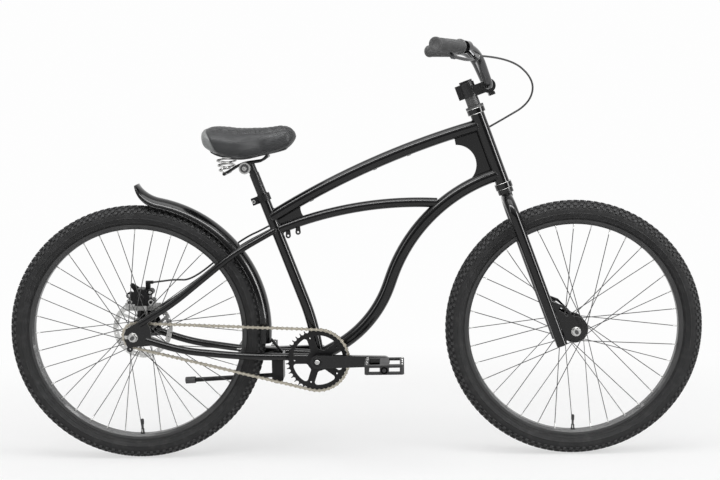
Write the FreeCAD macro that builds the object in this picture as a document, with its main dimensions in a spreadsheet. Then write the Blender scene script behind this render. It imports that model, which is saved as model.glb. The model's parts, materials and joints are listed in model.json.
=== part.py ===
import FreeCAD, Part
import math
import os
import Sketcher

V = FreeCAD.Vector

# Driving sizes: lengths in millimetres, angles in degrees, counts as plain numbers
SIZES = {
    # Stance of the bicycle: x forward, y to the rider's left, z up from the ground
    "wheelbase": 1146,
    "bracket_drop": 70.6,
    "head_angle": 70,
    "fork_offset": 42.6,
    "cut_overrun": 5,
    "running_gap": 0.05,
    "end_play": 0.5,
    # Wheels
    "tyre_radius": 337,
    "tyre_crown_half": 11,
    "tyre_shoulder_drop": 9,
    "tyre_shoulder_half": 24,
    "tyre_wall_drop": 23,
    "tyre_wall_half": 27,
    "tyre_low_rise": 17.5,
    "tyre_low_half": 23.5,
    "rim_flange_rise": 5.5,
    "rim_flange_half": 14,
    "tyre_height": 55.5,
    "rim_seat_half": 10.5,
    "rim_side_drop": 1.5,
    "rim_depth": 7,
    "rim_inner_half": 9,
    "spoke_count": 36,
    "spoke_radius": 1.1,
    "spoke_cross_angle": 60,
    "spoke_rim_side": 3,
    "spoke_flange_gap": 0.9,
    "valve_radius": 3,
    "valve_length": 38,
    "axle_radius": 4.76,
    "hub_bore": 4.81,
    # Front hub
    "front_old_half": 50,
    "front_axle_half": 74,
    "front_flange_in": 26,
    "front_flange_out": 30,
    "front_flange_radius": 35,
    "front_spoke_circle": 31,
    "front_barrel_radius": 16,
    "front_neck_radius": 11,
    "front_neck_half": 47.5,
    # Rear hub
    "rear_old_half": 67.5,
    "rear_axle_half": 92,
    "rear_flange_in": 28,
    "rear_flange_out": 32,
    "rear_flange_radius": 30,
    "rear_spoke_circle": 26,
    "rear_barrel_radius": 15,
    "rear_neck_radius": 16.9,
    "rear_neck_half": 57,
    "rotor_boss_radius": 22,
    "rotor_inner_face": 50.9,
    "rotor_thickness": 1.8,
    "rotor_radius": 80,
    "rotor_track_radius": 66,
    "rotor_ring_radius": 25,
    "rotor_arm_half": 4,
    "rotor_arm_count": 6,
    "lock_nut_radius": 8.5,
    "axle_nut_radius": 10.5,
    "axle_nut_height": 10,
    "axle_washer_radius": 12.5,
    "axle_washer_height": 2,
    # Chain drive
    "chain_pitch": 12.7,
    "chain_count": 104,
    "ring_teeth": 40,
    "cog_teeth": 16,
    "chain_line": 46,
    "seat_radius": 5.2,
    "roller_seat_angle": 60,
    "tooth_height": 3.4,
    "tooth_tip_half": 0.9,
    "ring_thickness": 2.4,
    "roller_radius": 3.875,
    "roller_half": 1.65,
    "link_height_half": 4.1,
    "link_end": 4.2,
    "link_waist": 1.2,
    "link_thickness": 1,
    "ring_window_in": 29,
    "ring_window_out": 66,
    "ring_window_corner": 7,
    "ring_arm_half": 9.5,
    "ring_hole_circle": 61,
    "ring_hole_radius": 2.2,
    "ring_arm_count": 5,
    "ring_arm_first_angle": 36,
    "freewheel_radius": 22,
    "freewheel_out": 54,
    "freewheel_in": 35.5,
    # Cranks and pedals
    "crank_length": 175,
    "spindle_radius": 8.5,
    "spindle_half": 70,
    "crank_in": 58,
    "crank_out": 72,
    "crank_boss_radius": 17.5,
    "crank_end_radius": 13,
    "pedal_pin_radius": 6,
    "pedal_pin_end": 170,
    "pedal_in": 76,
    "pedal_out": 172,
    "pedal_half": 50,
    "pedal_height_half": 12,
    "pedal_corner": 9,
    "pedal_rail": 11,
    "pedal_side": 12,
    "pedal_barrel_radius": 11.5,
    "pedal_cap_radius": 11,
    "pedal_window_half": 6,
    "pedal_cap_height": 4,
    # Frame tubes
    "bracket_shell_radius": 20.5,
    "bracket_shell_bore": 17,
    "bracket_shell_half": 34,
    "bracket_cup_radius": 19,
    "bracket_cup_flange": 3,
    "head_tube_radius": 18.3,
    "head_tube_bore": 16.3,
    "head_length": 191,
    "lower_cup_height": 16.3,
    "lower_cup_radius": 22.5,
    "upper_cup_height": 14.7,
    "upper_cup_radius": 23.5,
    "top_tube_radius": 15.9,
    "top_tube_rear_x": 357.2,
    "top_tube_rear_z": 300.3,
    "top_tube_front_x": 11.776,
    "top_tube_front_z": -28.223,
    "top_tube_rise": 21.1,
    "mid_tube_radius": 12.7,
    "mid_tube_rear_x": 371,
    "mid_tube_rear_z": 266.3,
    "mid_tube_front_x": -170.25,
    "mid_tube_front_z": -50.342,
    "mid_tube_rise": 23.4,
    "down_tube_radius": 17.2,
    "down_head_x": -8.45,
    "down_head_z": 23.158,
    "down_high_x": -216.65,
    "down_high_z": -38.942,
    "down_low_share": 0.4409,
    "down_low_rise": 8.3,
    "seat_tube_radius": 14.3,
    "seat_tube_top_x": 335.1,
    "seat_tube_top_z": 362.7,
    "seat_tube_bend_x": 462.8,
    "seat_tube_bend_z": 17.5,
    "seat_bore_depth": 262,
    "seat_stay_radius": 8.5,
    "seat_stay_top_x": 369,
    "seat_stay_top_y": 6,
    "seat_stay_top_z": 269,
    "seat_stay_bend_x": 265,
    "seat_stay_bend_y": 51,
    "seat_stay_bend_z": 214,
    "seat_stay_low_x": 101,
    "seat_stay_low_y": 66,
    "seat_stay_low_z": 83,
    "seat_stay_end_x": 17,
    "seat_stay_end_y": 70,
    "seat_stay_end_z": 34,
    "seat_bridge_share": 0.3933,
    "bridge_radius": 6,
    "chain_stay_radius": 9.5,
    "chain_stay_front_y": 22,
    "chain_stay_front_rise": 4,
    "chain_stay_mid_back": 41,
    "chain_stay_mid_y": 43,
    "chain_stay_mid_z": -61,
    "chain_stay_rear_x": 127,
    "chain_stay_rear_y": 63,
    "chain_stay_rear_z": -39,
    "chain_stay_end_x": 32,
    "chain_stay_end_y": 70,
    "chain_stay_end_z": -8,
    "chain_bridge_share": 0.75,
    "chain_bridge_gap": 44,
    "chain_bridge_z": -63,
    "dropout_thickness": 5,
    "dropout_reach": 51,
    "eyelet_x": -10,
    "eyelet_z": -31,
    "eyelet_radius": 8,
    "eyelet_bore": 2.5,
    "gusset_thickness": 5,
    "gusset_roof_x": -60.524,
    "gusset_roof_z": -54.623,
    "gusset_floor_x": -117.85,
    "gusset_floor_z": -17.142,
    "gusset_high_x": -55.524,
    "gusset_high_z": -80.623,
    "gusset_deep_x": -67.85,
    "gusset_deep_z": 52.858,
    "gusset_low_x": -115.85,
    "gusset_low_z": -5.142,
    "seat_gusset_high_x": 447,
    "seat_gusset_high_z": 351,
    "seat_gusset_low_x": 447,
    "seat_gusset_low_z": 298,
    "seat_gusset_deep_x": 435,
    "seat_gusset_deep_z": 319,
    "hook_radius": 7,
    "hook_root_radius": 5.6,
    "hook_rear_x": 401,
    "hook_rear_z": 252,
    "hook_front_x": 427,
    "hook_front_z": 261,
    "hook_eye_radius": 2.6,
    "hook_reach": 14,
    "collar_radius": 18.3,
    "collar_low": 21,
    "collar_high": 2,
    "collar_ear_reach": 32,
    "collar_bolt_reach": 26.24,
    "collar_ear_half": 8,
    "collar_slot_half": 1.2,
    "collar_bolt_radius": 3,
    "collar_bolt_half": 14,
    # Rear fender
    "fender_shift_x": -5,
    "fender_shift_z": 6,
    "fender_clearance": 20,
    "fender_half": 31,
    "fender_wall": 1.5,
    "fender_shoulder_half": 24,
    "fender_shoulder_drop": 5,
    "fender_skirt_drop": 17,
    "fender_front_angle": -6,
    "fender_rear_angle": 78,
    "fender_tail_radius": 90,
    "fender_tail_angle": 44,
    "fender_peg_radius": 3.5,
    "fender_peg_share": 0.8,
    # Fork
    "steerer_radius": 14.3,
    "steerer_bore": 12.3,
    "crown_race_lift": 11.2,
    "crown_race_height": 12.4,
    "headset_gap": 0.6,
    "crown_race_radius": 20,
    "crown_clearance": 46.8,
    "leg_radius": 14.3,
    "leg_back": 3,
    "leg_side": 54,
    "leg_low": -22,
    "fork_tip_thickness": 5,
    "fork_tip_radius": 15,
    "fork_tip_high": 97,
    "fork_tip_high_ahead": 10,
    "fork_tip_brow": 76,
    "fork_tip_brow_ahead": 34,
    "fork_tip_knee": 38,
    "fork_tip_knee_ahead": 51,
    "fork_slot_radius": 4.5,
    "fork_slot_high": 68,
    "fork_slot_high_ahead": 25,
    "fork_slot_low": 50,
    "fork_slot_low_ahead": 36,
    # Headset cover, spacers, stem
    "cover_radius": 23.5,
    "cover_height": 5.4,
    "spacer_radius": 17,
    "spacer_height": 25,
    "stem_height": 37,
    "stem_radius": 20,
    "stem_reach": 50.8,
    "bar_lift": 11.2,
    "stem_ear_back": 31,
    "stem_ear_half": 9,
    "stem_slot_half": 1.2,
    "stem_arm_half": 15,
    "stem_arm_height_half": 14,
    "stem_clamp_radius": 18.5,
    "stem_clamp_half": 22,
    "stem_clamp_gap": 1.2,
    "stem_lug_half": 26,
    "stem_lug_depth": 6,
    "stem_bolt_radius": 2.5,
    "stem_bolt_side": 16,
    "stem_bolt_station": 22,
    "stem_bolt_head_radius": 4.2,
    "stem_bolt_head_height": 4,
    "cap_radius": 17,
    "cap_height": 6,
    # Handlebar, grips and brake lever
    "bar_radius": 11.1,
    "bar_bulge_radius": 12.7,
    "bar_bulge_half": 23.5,
    "bar_foot_y": 41,
    "bar_rise_x": -36.8,
    "bar_rise_y": 124,
    "bar_rise_z": 91.534,
    "bar_end_x": -141.8,
    "bar_end_y": 303,
    "bar_end_z": 97.534,
    "bar_foot_share": 0.2,
    "bar_rise_share": 0.44,
    "grip_radius": 16,
    "grip_length": 122,
    "grip_flange_radius": 18.5,
    "grip_flange_width": 5,
    "grip_cap": 3,
    "perch_from_end": 152,
    "perch_half": 9,
    "perch_radius": 16,
    "perch_reach": 38,
    "perch_slope_angle": 44,
    "perch_arm_radius": 8,
    "pivot_radius": 3,
    "pivot_half": 8,
    "lever_gap": 0.5,
    "lever_half": 4.5,
    "lever_radius": 4,
    "lever_boss_radius": 8,
    "lever_length": 112,
    "lever_knee": 46,
    "lever_bow": 7,
    "lever_ball_radius": 6,
    "lever_stub": 5,
    "barrel_radius": 5,
    "barrel_length": 17,
    "barrel_reach": 27,
    # Brake cable
    "cable_radius": 2.5,
    "clip_radius": 4.2,
    "clip_half": 5,
    "cable_stand": 0.4,
    "loop_high_x": 54.2,
    "loop_high_y": -20,
    "loop_high_z": 70.534,
    "loop_front_x": 121.2,
    "loop_front_y": 12,
    "loop_front_z": 13.534,
    "loop_low_x": 139.476,
    "loop_low_y": 28,
    "loop_low_z": 24.377,
    "loop_back_x": 69.476,
    "loop_back_y": 32,
    "loop_back_z": -16.623,
    "loop_end_x": -0.524,
    "loop_end_y": 27,
    "loop_end_z": -54.623,
    "loop_trim": 1.6,
    "cable_seat_x": 351,
    "cable_seat_y": 19.5,
    "cable_seat_z": 275,
    "cable_stay_x": 265,
    "cable_stay_y": 56,
    "cable_stay_z": 235,
    "cable_low_x": 138,
    "cable_low_y": 65.2,
    "cable_low_z": 127.6,
    "cable_rise_x": 83,
    "cable_rise_y": 74,
    "cable_rise_z": 128,
    "cable_turn_x": 55,
    "cable_turn_y": 77,
    "cable_turn_z": 124,
    # Rear brake
    "caliper_low": 67,
    "caliper_high": 109,
    "caliper_rear_x": -39,
    "caliper_front_x": 33,
    "caliper_in": 43,
    "caliper_out": 82,
    "caliper_dome_radius": 25,
    "caliper_dome_x": -3,
    "caliper_dome_z": 83,
    "caliper_ear": 11,
    "caliper_slot_in": 49.4,
    "caliper_slot_out": 56.4,
    "caliper_slot_radius": 84,
    "pad_rear_x": -19,
    "pad_front_x": 19,
    "pad_low": 61,
    "pad_high": 79,
    "pad_thickness": 3,
    "pad_gap": 0.45,
    "piston_radius": 9,
    "piston_length": 15,
    "piston_x": 0,
    "piston_z": 78,
    "arm_pivot_x": -7,
    "arm_pivot_z": 88,
    "arm_pivot_radius": 4,
    "arm_pin_end": 90,
    "arm_in": 82.4,
    "arm_out": 87,
    "arm_boss_radius": 12,
    "arm_end_radius": 6,
    "arm_end_x": -31,
    "arm_end_z": 112,
    "stop_rear_x": 7,
    "stop_front_x": 27,
    "stop_y": 77,
    "stop_z": 121,
    "stop_radius": 4.5,
    "stop_lug": 5,
    "stop_lug_front_x": 19,
    "adapter_rear_x": -47,
    "adapter_front_x": 49,
    "adapter_low": 47,
    "adapter_thickness": 8.5,
    # Kickstand
    "stand_gap": 30,
    "stand_pivot_z": -126,
    "stand_pivot_radius": 5,
    "stand_block_half": 15,
    "stand_block_side": 24,
    "stand_block_corner": 13,
    "stand_block_high": -63,
    "stand_block_low": -137,
    "stand_hub_radius": 11,
    "stand_hub_width": 13,
    "stand_pin_end": 40,
    "stand_leg_radius": 6,
    "stand_foot_x": 137,
    "stand_foot_y": 50,
    "stand_foot_z": -142,
    "stand_foot_radius": 9,
    "stand_foot_length": 26,
    # Saddle and seat post
    "post_radius": 12.7,
    "post_neck_radius": 11.1,
    "post_neck_start": 57,
    "post_out": 82,
    "post_in": 150,
    "clamp_x": 295,
    "clamp_z": 431,
    "clamp_radius": 15,
    "clamp_half": 18.3,
    "clamp_bolt_radius": 4,
    "cheek_out": 31,
    "cheek_width": 5.3,
    "rail_radius": 3.5,
    "rail_side": 22,
    "rail_rear_x": 246,
    "rail_rear_z": 419,
    "rail_knee_x": 283,
    "rail_knee_z": 442,
    "rail_front_x": 337,
    "rail_front_z": 449,
    "rail_nose_x": 351,
    "rail_nose_z": 460,
    "spring_x": 246,
    "spring_side": 50,
    "spring_wire": 2.4,
    "spring_low": 425.9,
    "spring_high": 462.3,
    "spring_low_radius": 12,
    "spring_high_radius": 20,
    "spring_turns": 3,
    "spring_bar_half": 58,
    "spring_bar_radius": 4.5,
    "nose_bar_radius": 4.5,
    "base_low": 465,
    "base_high": 475,
    "base_lug_half": 8,
    "base_lug_radius": 8,
    "saddle_rear_x": 194,
    "saddle_length": 233,
    "saddle_half_width": 108,
    "saddle_low": 457,
    "saddle_height": 79,
    "saddle_facet_count": 8,
    "saddle_waist_share": 0.45,
    "saddle_brow_share": 0.8,
    "saddle_brow_width_share": 0.88,
    "saddle_foot_share": 0.86,
    "saddle_base_share": 0.74,
}

# Sizes that follow from the ones above
FOLLOWING = {
    "rim_seat_radius": "tyre_radius - tyre_height",
    "tyre_shoulder_radius": "tyre_radius - tyre_shoulder_drop",
    "tyre_wall_radius": "tyre_radius - tyre_wall_drop",
    "tyre_low_radius": "rim_seat_radius + tyre_low_rise",
    "rim_flange_radius": "rim_seat_radius + rim_flange_rise",
    "rim_side_radius": "rim_seat_radius - rim_side_drop",
    "rim_inner_radius": "rim_seat_radius - rim_depth",
    "fender_radius": "tyre_radius + fender_clearance",
    "chain_bridge_x": "tyre_radius + chain_bridge_gap",
    "chain_stay_mid_x": "tyre_radius - chain_stay_mid_back",
    "stand_pivot_x": "tyre_radius + stand_gap",
    "crown_station": "tyre_radius + crown_clearance",
    "crown_race_low": "crown_station + crown_race_lift",
    "crown_race_high": "crown_race_low + crown_race_height",
    "lower_cup_low": "crown_race_high + headset_gap",
    "head_low": "lower_cup_low + lower_cup_height",
    "head_high": "head_low + head_length",
    "upper_cup_high": "head_high + upper_cup_height",
    "cover_low": "upper_cup_high + headset_gap",
    "cover_high": "cover_low + cover_height",
    "stem_low": "cover_high + spacer_height",
    "stem_high": "stem_low + stem_height",
    "bar_station": "stem_low + bar_lift",
}

DOC = FreeCAD.newDocument("BeachCruiser")
SHEET = DOC.addObject("Spreadsheet::Sheet", "Sizes")
ROWS = [(alias, str(value)) for alias, value in SIZES.items()]
ROWS += [(alias, "=" + formula) for alias, formula in FOLLOWING.items()]
for row, (alias, value) in enumerate(ROWS, 1):
    SHEET.set("A%d" % row, alias)
    SHEET.set("B%d" % row, value)
    SHEET.setAlias("B%d" % row, alias)
DOC.recompute()

# Points of the front end, measured from the bar clamp and from the two ends of the head tube
FROM_BAR = ("bar_rise", "bar_end", "loop_high", "loop_front")
FROM_HEAD_HIGH = ("top_tube_front", "gusset_roof", "gusset_high", "loop_low", "loop_back", "loop_end")
FROM_HEAD_LOW = ("mid_tube_front", "down_head", "down_high", "gusset_floor", "gusset_deep", "gusset_low")

NODES = []
Y = V(0, 1, 0)


def size(name):
    """One driving size from the sheet."""
    return float(SHEET.get(name))


def start_of(name):
    """Where a named point is measured from: the rear axle, or one of three places of the front end."""
    if name in FROM_BAR:
        return bar_at
    if name in FROM_HEAD_HIGH:
        return head_high
    if name in FROM_HEAD_LOW:
        return head_low
    return rear


def point(name, side=1):
    """A named point; its y counts to the left, or to the right with side -1."""
    y = size(name + "_y") if name + "_y" in SIZES else 0
    return start_of(name) + V(size(name + "_x"), side * y, size(name + "_z"))


def x_of(name):
    """A place along the bicycle, from a size measured from the rear axle."""
    return rear.x + size(name)


def z_of(name):
    """A height, from a size measured from the axles."""
    return rear.z + size(name)


def keep(item, label):
    """Give a document object its node name."""
    item.Label = label
    NODES.append(item)
    return item


def solid_node(label, solids):
    """One node from solids that no single feature can make."""
    item = DOC.addObject("Part::Feature", label)
    item.Shape = solids[0] if len(solids) == 1 else Part.makeCompound(solids)
    return keep(item, label)


def drawn(body, plane, corners):
    """A closed sketch of straight edges, each corner bound to the sheet by name."""
    def number(name):
        return -size(name[1:]) if name[0] == "-" else size(name)

    def formula(name):
        return "-Sizes." + name[1:] if name[0] == "-" else "Sizes." + name

    sketch = body.newObject("Sketcher::SketchObject", body.Name + "_outline")
    face = [f for f in body.Origin.OriginFeatures if f.Role == plane][0]
    sketch.AttachmentSupport = [(face, "")]
    sketch.MapMode = "FlatFace"
    places = [V(number(a), number(b), 0) for a, b in corners]
    count = len(places)
    for i in range(count):
        sketch.addGeometry(Part.LineSegment(places[i], places[(i + 1) % count]))
    for i in range(count):
        sketch.addConstraint(Sketcher.Constraint("Coincident", i, 2, (i + 1) % count, 1))
    for i, (a, b) in enumerate(corners):
        across = sketch.addConstraint(Sketcher.Constraint("DistanceX", -1, 1, i, 1, places[i].x))
        sketch.setExpression("Constraints[%d]" % across, formula(a))
        along = sketch.addConstraint(Sketcher.Constraint("DistanceY", -1, 1, i, 1, places[i].y))
        sketch.setExpression("Constraints[%d]" % along, formula(b))
    return sketch


def mirrored(half):
    """A full outline from its half, given from the low end to the high end of the positive side."""
    return half + [(radius, "-" + along) for radius, along in reversed(half)]


def turned(label, corners, centre):
    """A body turned about an axis along y; corners are radius and place along the axis."""
    body = DOC.addObject("PartDesign::Body", label)
    sketch = drawn(body, "XY_Plane", corners)
    turn = body.newObject("PartDesign::Revolution", label + "_turn")
    turn.Profile = sketch
    turn.ReferenceAxis = (sketch, ["V_Axis"])
    turn.Angle = 360
    body.Placement = FreeCAD.Placement(centre, FreeCAD.Rotation())
    DOC.recompute()
    return keep(body, label)


def pipe(label, outer, inner, length, start, direction):
    """A straight hollow tube from three sheet names, set at a start and along a direction."""
    turn = FreeCAD.Rotation(V(0, 0, 1), direction)
    parts = []
    for name, radius in (("outer", outer), ("bore", inner)):
        item = DOC.addObject("Part::Cylinder", label + "_" + name)
        item.setExpression("Radius", "Sizes." + radius)
        item.setExpression("Height", length)
        item.Placement = FreeCAD.Placement(start, turn)
        parts.append(item)
    cut = DOC.addObject("Part::Cut", label)
    cut.Base = parts[0]
    cut.Tool = parts[1]
    DOC.recompute()
    return keep(cut, label)


def rod(start, end, radius):
    """A round bar between two points."""
    return Part.makeCylinder(radius, (end - start).Length, start, end - start)


def sleeve(start, end, outer, inner):
    """A round bar with a bore right through it."""
    over = (end - start).normalize() * size("cut_overrun")
    return rod(start, end, outer).cut(rod(start - over, end + over, inner))


def plate(corners, thickness):
    """A flat plate from corners in one plane, thickened both ways along y."""
    half = V(0, thickness / 2, 0)
    outline = Part.makePolygon([c - half for c in corners + corners[:1]])
    return Part.Face(outline).extrude(half * 2)


def box(low, high):
    """A block between two opposite corners."""
    span = high - low
    return Part.makeBox(span.x, span.y, span.z, low)


def arc_at(corner, start, end):
    """The arc that touches two equal runs from a corner, and its radius."""
    back = (start - corner).normalize()
    on = (end - corner).normalize()
    half_turn = (math.pi - back.getAngle(on)) / 2
    radius = (start - corner).Length / math.tan(half_turn)
    deep = corner + (back + on).normalize() * (radius / math.cos(half_turn) - radius)
    return Part.Arc(start, deep, end).toShape(), radius


def rounded_path(corners, shares):
    """Straight runs joined by arcs; each arc takes its share of its shorter run."""
    edges = []
    radii = []
    here = corners[0]
    for before, corner, after, share in zip(corners, corners[1:], corners[2:], shares):
        reach = share * min((before - corner).Length, (after - corner).Length)
        start = corner + (before - corner).normalize() * reach
        end = corner + (after - corner).normalize() * reach
        arc, radius = arc_at(corner, start, end)
        edges.append(Part.LineSegment(here, start).toShape())
        edges.append(arc)
        radii.append(radius)
        here = end
    edges.append(Part.LineSegment(here, corners[-1]).toShape())
    return Part.Wire(edges), radii


def tube(path, radius, sides=0):
    """A round section, or a regular one with flat sides, drawn along a path."""
    edge = path.Edges[0]
    start = edge.valueAt(edge.FirstParameter)
    along = edge.tangentAt(edge.FirstParameter)
    if sides:
        turn = FreeCAD.Rotation(V(0, 0, 1), along)
        ring = [math.tau * i / sides for i in range(sides + 1)]
        section = Part.makePolygon(
            [start + turn.multVec(V(math.cos(a), math.sin(a), 0) * radius) for a in ring]
        )
    else:
        section = Part.Wire(Part.Circle(start, along, radius).toShape())
    return path.makePipeShell([section], True, False)


def bowed(start, end, rise):
    """A single arc between two points of the middle plane, bowed upward."""
    run = (end - start).normalize()
    top = (start + end) / 2 + V(-run.z, 0, run.x) * rise
    return Part.Wire(Part.Arc(start, top, end).toShape())


def cut_all(shape, tools):
    """One shape with several others taken away."""
    for tool in tools:
        shape = shape.cut(tool)
    return shape


def biggest(shape):
    """The largest piece that a cope leaves."""
    return max(shape.Solids, key=lambda solid: solid.Volume)


# Shares of the shorter run that each bend takes
SEAT_BEND_SHARES = [0.75]
DOWN_BEND_SHARES = [0.96, 0.7]
SOFT_BEND_SHARES = [0.45, 0.45]
RAIL_BEND_SHARES = [0.4, 0.4]
BEND_SHARE = 0.45

# Main points
rear = V(-size("wheelbase") / 2, 0, size("tyre_radius"))
front = V(size("wheelbase") / 2, 0, size("tyre_radius"))
lean = math.radians(size("head_angle"))
steer_axis = V(-math.cos(lean), 0, math.sin(lean))
steer_ahead = V(math.sin(lean), 0, math.cos(lean))
steer_foot = front - steer_ahead * size("fork_offset")


def steer(station, ahead=0.0, side=0.0):
    """A point by its place along the steering axis, ahead of it and to its left."""
    return steer_foot + steer_axis * station + steer_ahead * ahead + V(0, side, 0)


head_low = steer(size("head_low"))
head_high = steer(size("head_high"))
bar_at = steer(size("bar_station"), size("stem_reach"))

# Chain path: pins one pitch apart round two toothed wheels
pitch = size("chain_pitch")
ring_radius = pitch / (2 * math.sin(math.pi / size("ring_teeth")))
cog_radius = pitch / (2 * math.sin(math.pi / size("cog_teeth")))


def chain_pins(distance):
    """Pins of the closed chain for one centre distance, and how far the last one misses."""
    drop = size("bracket_drop")
    ring_at = rear + V(math.sqrt(distance ** 2 - drop ** 2), 0, -drop)
    slope = math.atan2(drop, ring_at.x - rear.x)
    wrap = math.asin((ring_radius - cog_radius) / distance)
    run = math.sqrt(distance ** 2 - (ring_radius - cog_radius) ** 2)
    first = math.pi / 2 - slope + wrap
    last = -math.pi / 2 - slope - wrap
    lengths = [
        ring_radius * (first - last),
        run,
        cog_radius * (math.tau - (first - last)),
        run,
    ]

    def on_circle(centre, radius, angle):
        return centre + V(math.cos(angle), 0, math.sin(angle)) * radius

    marks = [
        on_circle(ring_at, ring_radius, last),
        on_circle(rear, cog_radius, last),
        on_circle(rear, cog_radius, first),
        on_circle(ring_at, ring_radius, first),
    ]

    def place(way):
        way = way % sum(lengths)
        if way < lengths[0]:
            return on_circle(ring_at, ring_radius, first - way / ring_radius)
        way -= lengths[0]
        if way < lengths[1]:
            return marks[0] + (marks[1] - marks[0]) * (way / run)
        way -= lengths[1]
        if way < lengths[2]:
            return on_circle(rear, cog_radius, last - way / cog_radius)
        way -= lengths[2]
        return marks[2] + (marks[3] - marks[2]) * (way / run)

    way = ring_radius * math.pi / size("ring_teeth")
    start = way
    pins = [place(way)]
    for _ in range(int(size("chain_count"))):
        low = way + pitch / 2
        high = way + pitch * 1.5
        for _ in range(40):
            middle = (low + high) / 2
            if (place(middle) - pins[-1]).Length < pitch:
                low = middle
            else:
                high = middle
        way = low
        pins.append(place(way))
    return pins[:-1], way - start - sum(lengths), ring_at


near = ring_radius + cog_radius
far = pitch * size("chain_count") / 2
for _ in range(40):
    middle = (near + far) / 2
    pins, miss, bracket = chain_pins(middle)
    if miss > 0:
        near = middle
    else:
        far = middle
print("chain stay length from the closed chain %.2f mm" % (bracket - rear).Length)

# Wheels
tyre_half = [
    ("rim_seat_radius", "rim_seat_half"),
    ("rim_flange_radius", "rim_flange_half"),
    ("tyre_low_radius", "tyre_low_half"),
    ("tyre_wall_radius", "tyre_wall_half"),
    ("tyre_shoulder_radius", "tyre_shoulder_half"),
    ("tyre_radius", "tyre_crown_half"),
]
rim_half = [
    ("rim_inner_radius", "rim_inner_half"),
    ("rim_side_radius", "rim_flange_half"),
    ("rim_flange_radius", "rim_flange_half"),
    ("rim_seat_radius", "rim_seat_half"),
]


def laced(centre, flange_out, flange_in, circle):
    """Crossed spokes of one wheel, alternately outside and inside the hub flanges."""
    spokes = []
    each_side = int(size("spoke_count")) // 2
    step = math.tau / each_side
    radius = size("spoke_radius")
    stand = radius + size("spoke_flange_gap")
    for side in (1, -1):
        for i in range(each_side):
            outward = i % 2 == 0
            turn = math.radians(size("spoke_cross_angle")) * (1 if outward else -1)
            angle = step * i + (0 if side > 0 else step / 2)
            hub_y = flange_out + stand if outward else flange_in - radius
            start = centre + V(math.cos(angle) * circle, side * hub_y, math.sin(angle) * circle)
            rim = size("rim_inner_radius")
            end = centre + V(
                math.cos(angle + turn) * rim,
                side * size("spoke_rim_side"),
                math.sin(angle + turn) * rim,
            )
            line = Part.Wire(Part.LineSegment(start, end).toShape())
            spokes.append(tube(line, radius, 6))
    return spokes


def valve(centre):
    """A tyre valve on the rim, at the bottom of the wheel."""
    base = centre - V(0, 0, size("rim_inner_radius"))
    return rod(base, base + V(0, 0, size("valve_length")), size("valve_radius"))


for name, centre in (("front", front), ("rear", rear)):
    turned(name + "_tyre", mirrored(tyre_half), centre)
    turned(name + "_rim", mirrored(rim_half), centre)
    flange = [size(name + "_flange_out"), size(name + "_flange_in"), size(name + "_spoke_circle")]
    solid_node(name + "_spokes", laced(centre, *flange) + [valve(centre)])

turned(
    "front_hub",
    mirrored(
        [
            ("front_barrel_radius", "front_flange_in"),
            ("front_flange_radius", "front_flange_in"),
            ("front_flange_radius", "front_flange_out"),
            ("front_neck_radius", "front_flange_out"),
            ("front_neck_radius", "front_neck_half"),
            ("hub_bore", "front_neck_half"),
        ]
    ),
    front,
)
turned(
    "rear_hub",
    [
        ("hub_bore", "-rear_neck_half"),
        ("rear_neck_radius", "-rear_neck_half"),
        ("rear_neck_radius", "-rear_flange_out"),
        ("rear_flange_radius", "-rear_flange_out"),
        ("rear_flange_radius", "-rear_flange_in"),
        ("rear_barrel_radius", "-rear_flange_in"),
        ("rear_barrel_radius", "rear_flange_in"),
        ("rear_flange_radius", "rear_flange_in"),
        ("rear_flange_radius", "rear_flange_out"),
        ("rotor_boss_radius", "rear_flange_out"),
        ("rotor_boss_radius", "rotor_inner_face"),
        ("rear_neck_radius", "rotor_inner_face"),
        ("rear_neck_radius", "rear_neck_half"),
        ("hub_bore", "rear_neck_half"),
    ],
    rear,
)


# Axles, lock nuts and axle nuts
def hexagon(start, end, radius):
    """A six-sided bar between two points."""
    return tube(Part.Wire(Part.LineSegment(start, end).toShape()), radius, 6)


def axle_set(name, centre, gap_start, plate_thickness):
    """An axle with lock nuts inside the plates, and washers and nuts outside them."""
    radius = size("axle_radius")
    end = size(name + "_axle_half")
    inner_face = size(name + "_old_half")
    outer_face = inner_face + plate_thickness
    washer = outer_face + size("axle_washer_height")
    nut = washer + size("axle_nut_height")
    axle = [rod(centre - Y * end, centre + Y * end, radius)]
    nuts = []
    for side in (Y, -Y):
        lock = (centre + side * gap_start, centre + side * inner_face)
        axle.append(sleeve(*lock, size("lock_nut_radius"), radius))
        disc = (centre + side * outer_face, centre + side * washer)
        nuts.append(sleeve(*disc, size("axle_washer_radius"), radius))
        block = hexagon(centre + side * washer, centre + side * nut, size("axle_nut_radius"))
        nuts.append(block.cut(axle[0]))
    solid_node(name + "_axle", axle)
    solid_node(name + "_axle_nuts", nuts)


end_play = size("end_play")
axle_set("front", front, size("front_neck_half") + end_play, size("fork_tip_thickness"))
axle_set("rear", rear, size("rear_neck_half") + end_play, size("dropout_thickness"))

# Brake rotor: a track carried by arms on a centre ring
rotor_low = rear + Y * size("rotor_inner_face")
rotor_high = rotor_low + Y * size("rotor_thickness")
rotor = sleeve(rotor_low, rotor_high, size("rotor_radius"), size("rotor_track_radius"))
rotor = rotor.fuse(sleeve(rotor_low, rotor_high, size("rotor_ring_radius"), size("rear_neck_radius")))
for i in range(int(size("rotor_arm_count"))):
    half = size("rotor_arm_half")
    arm = box(
        V(size("rear_neck_radius") + half, 0, -half),
        V(size("rotor_track_radius") + half, size("rotor_thickness"), half),
    )
    arm.rotate(V(0, 0, 0), Y, 360 * i / size("rotor_arm_count"))
    arm.translate(rotor_low)
    rotor = rotor.fuse(arm)
solid_node("brake_rotor", [rotor.removeSplitter()])


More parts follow.
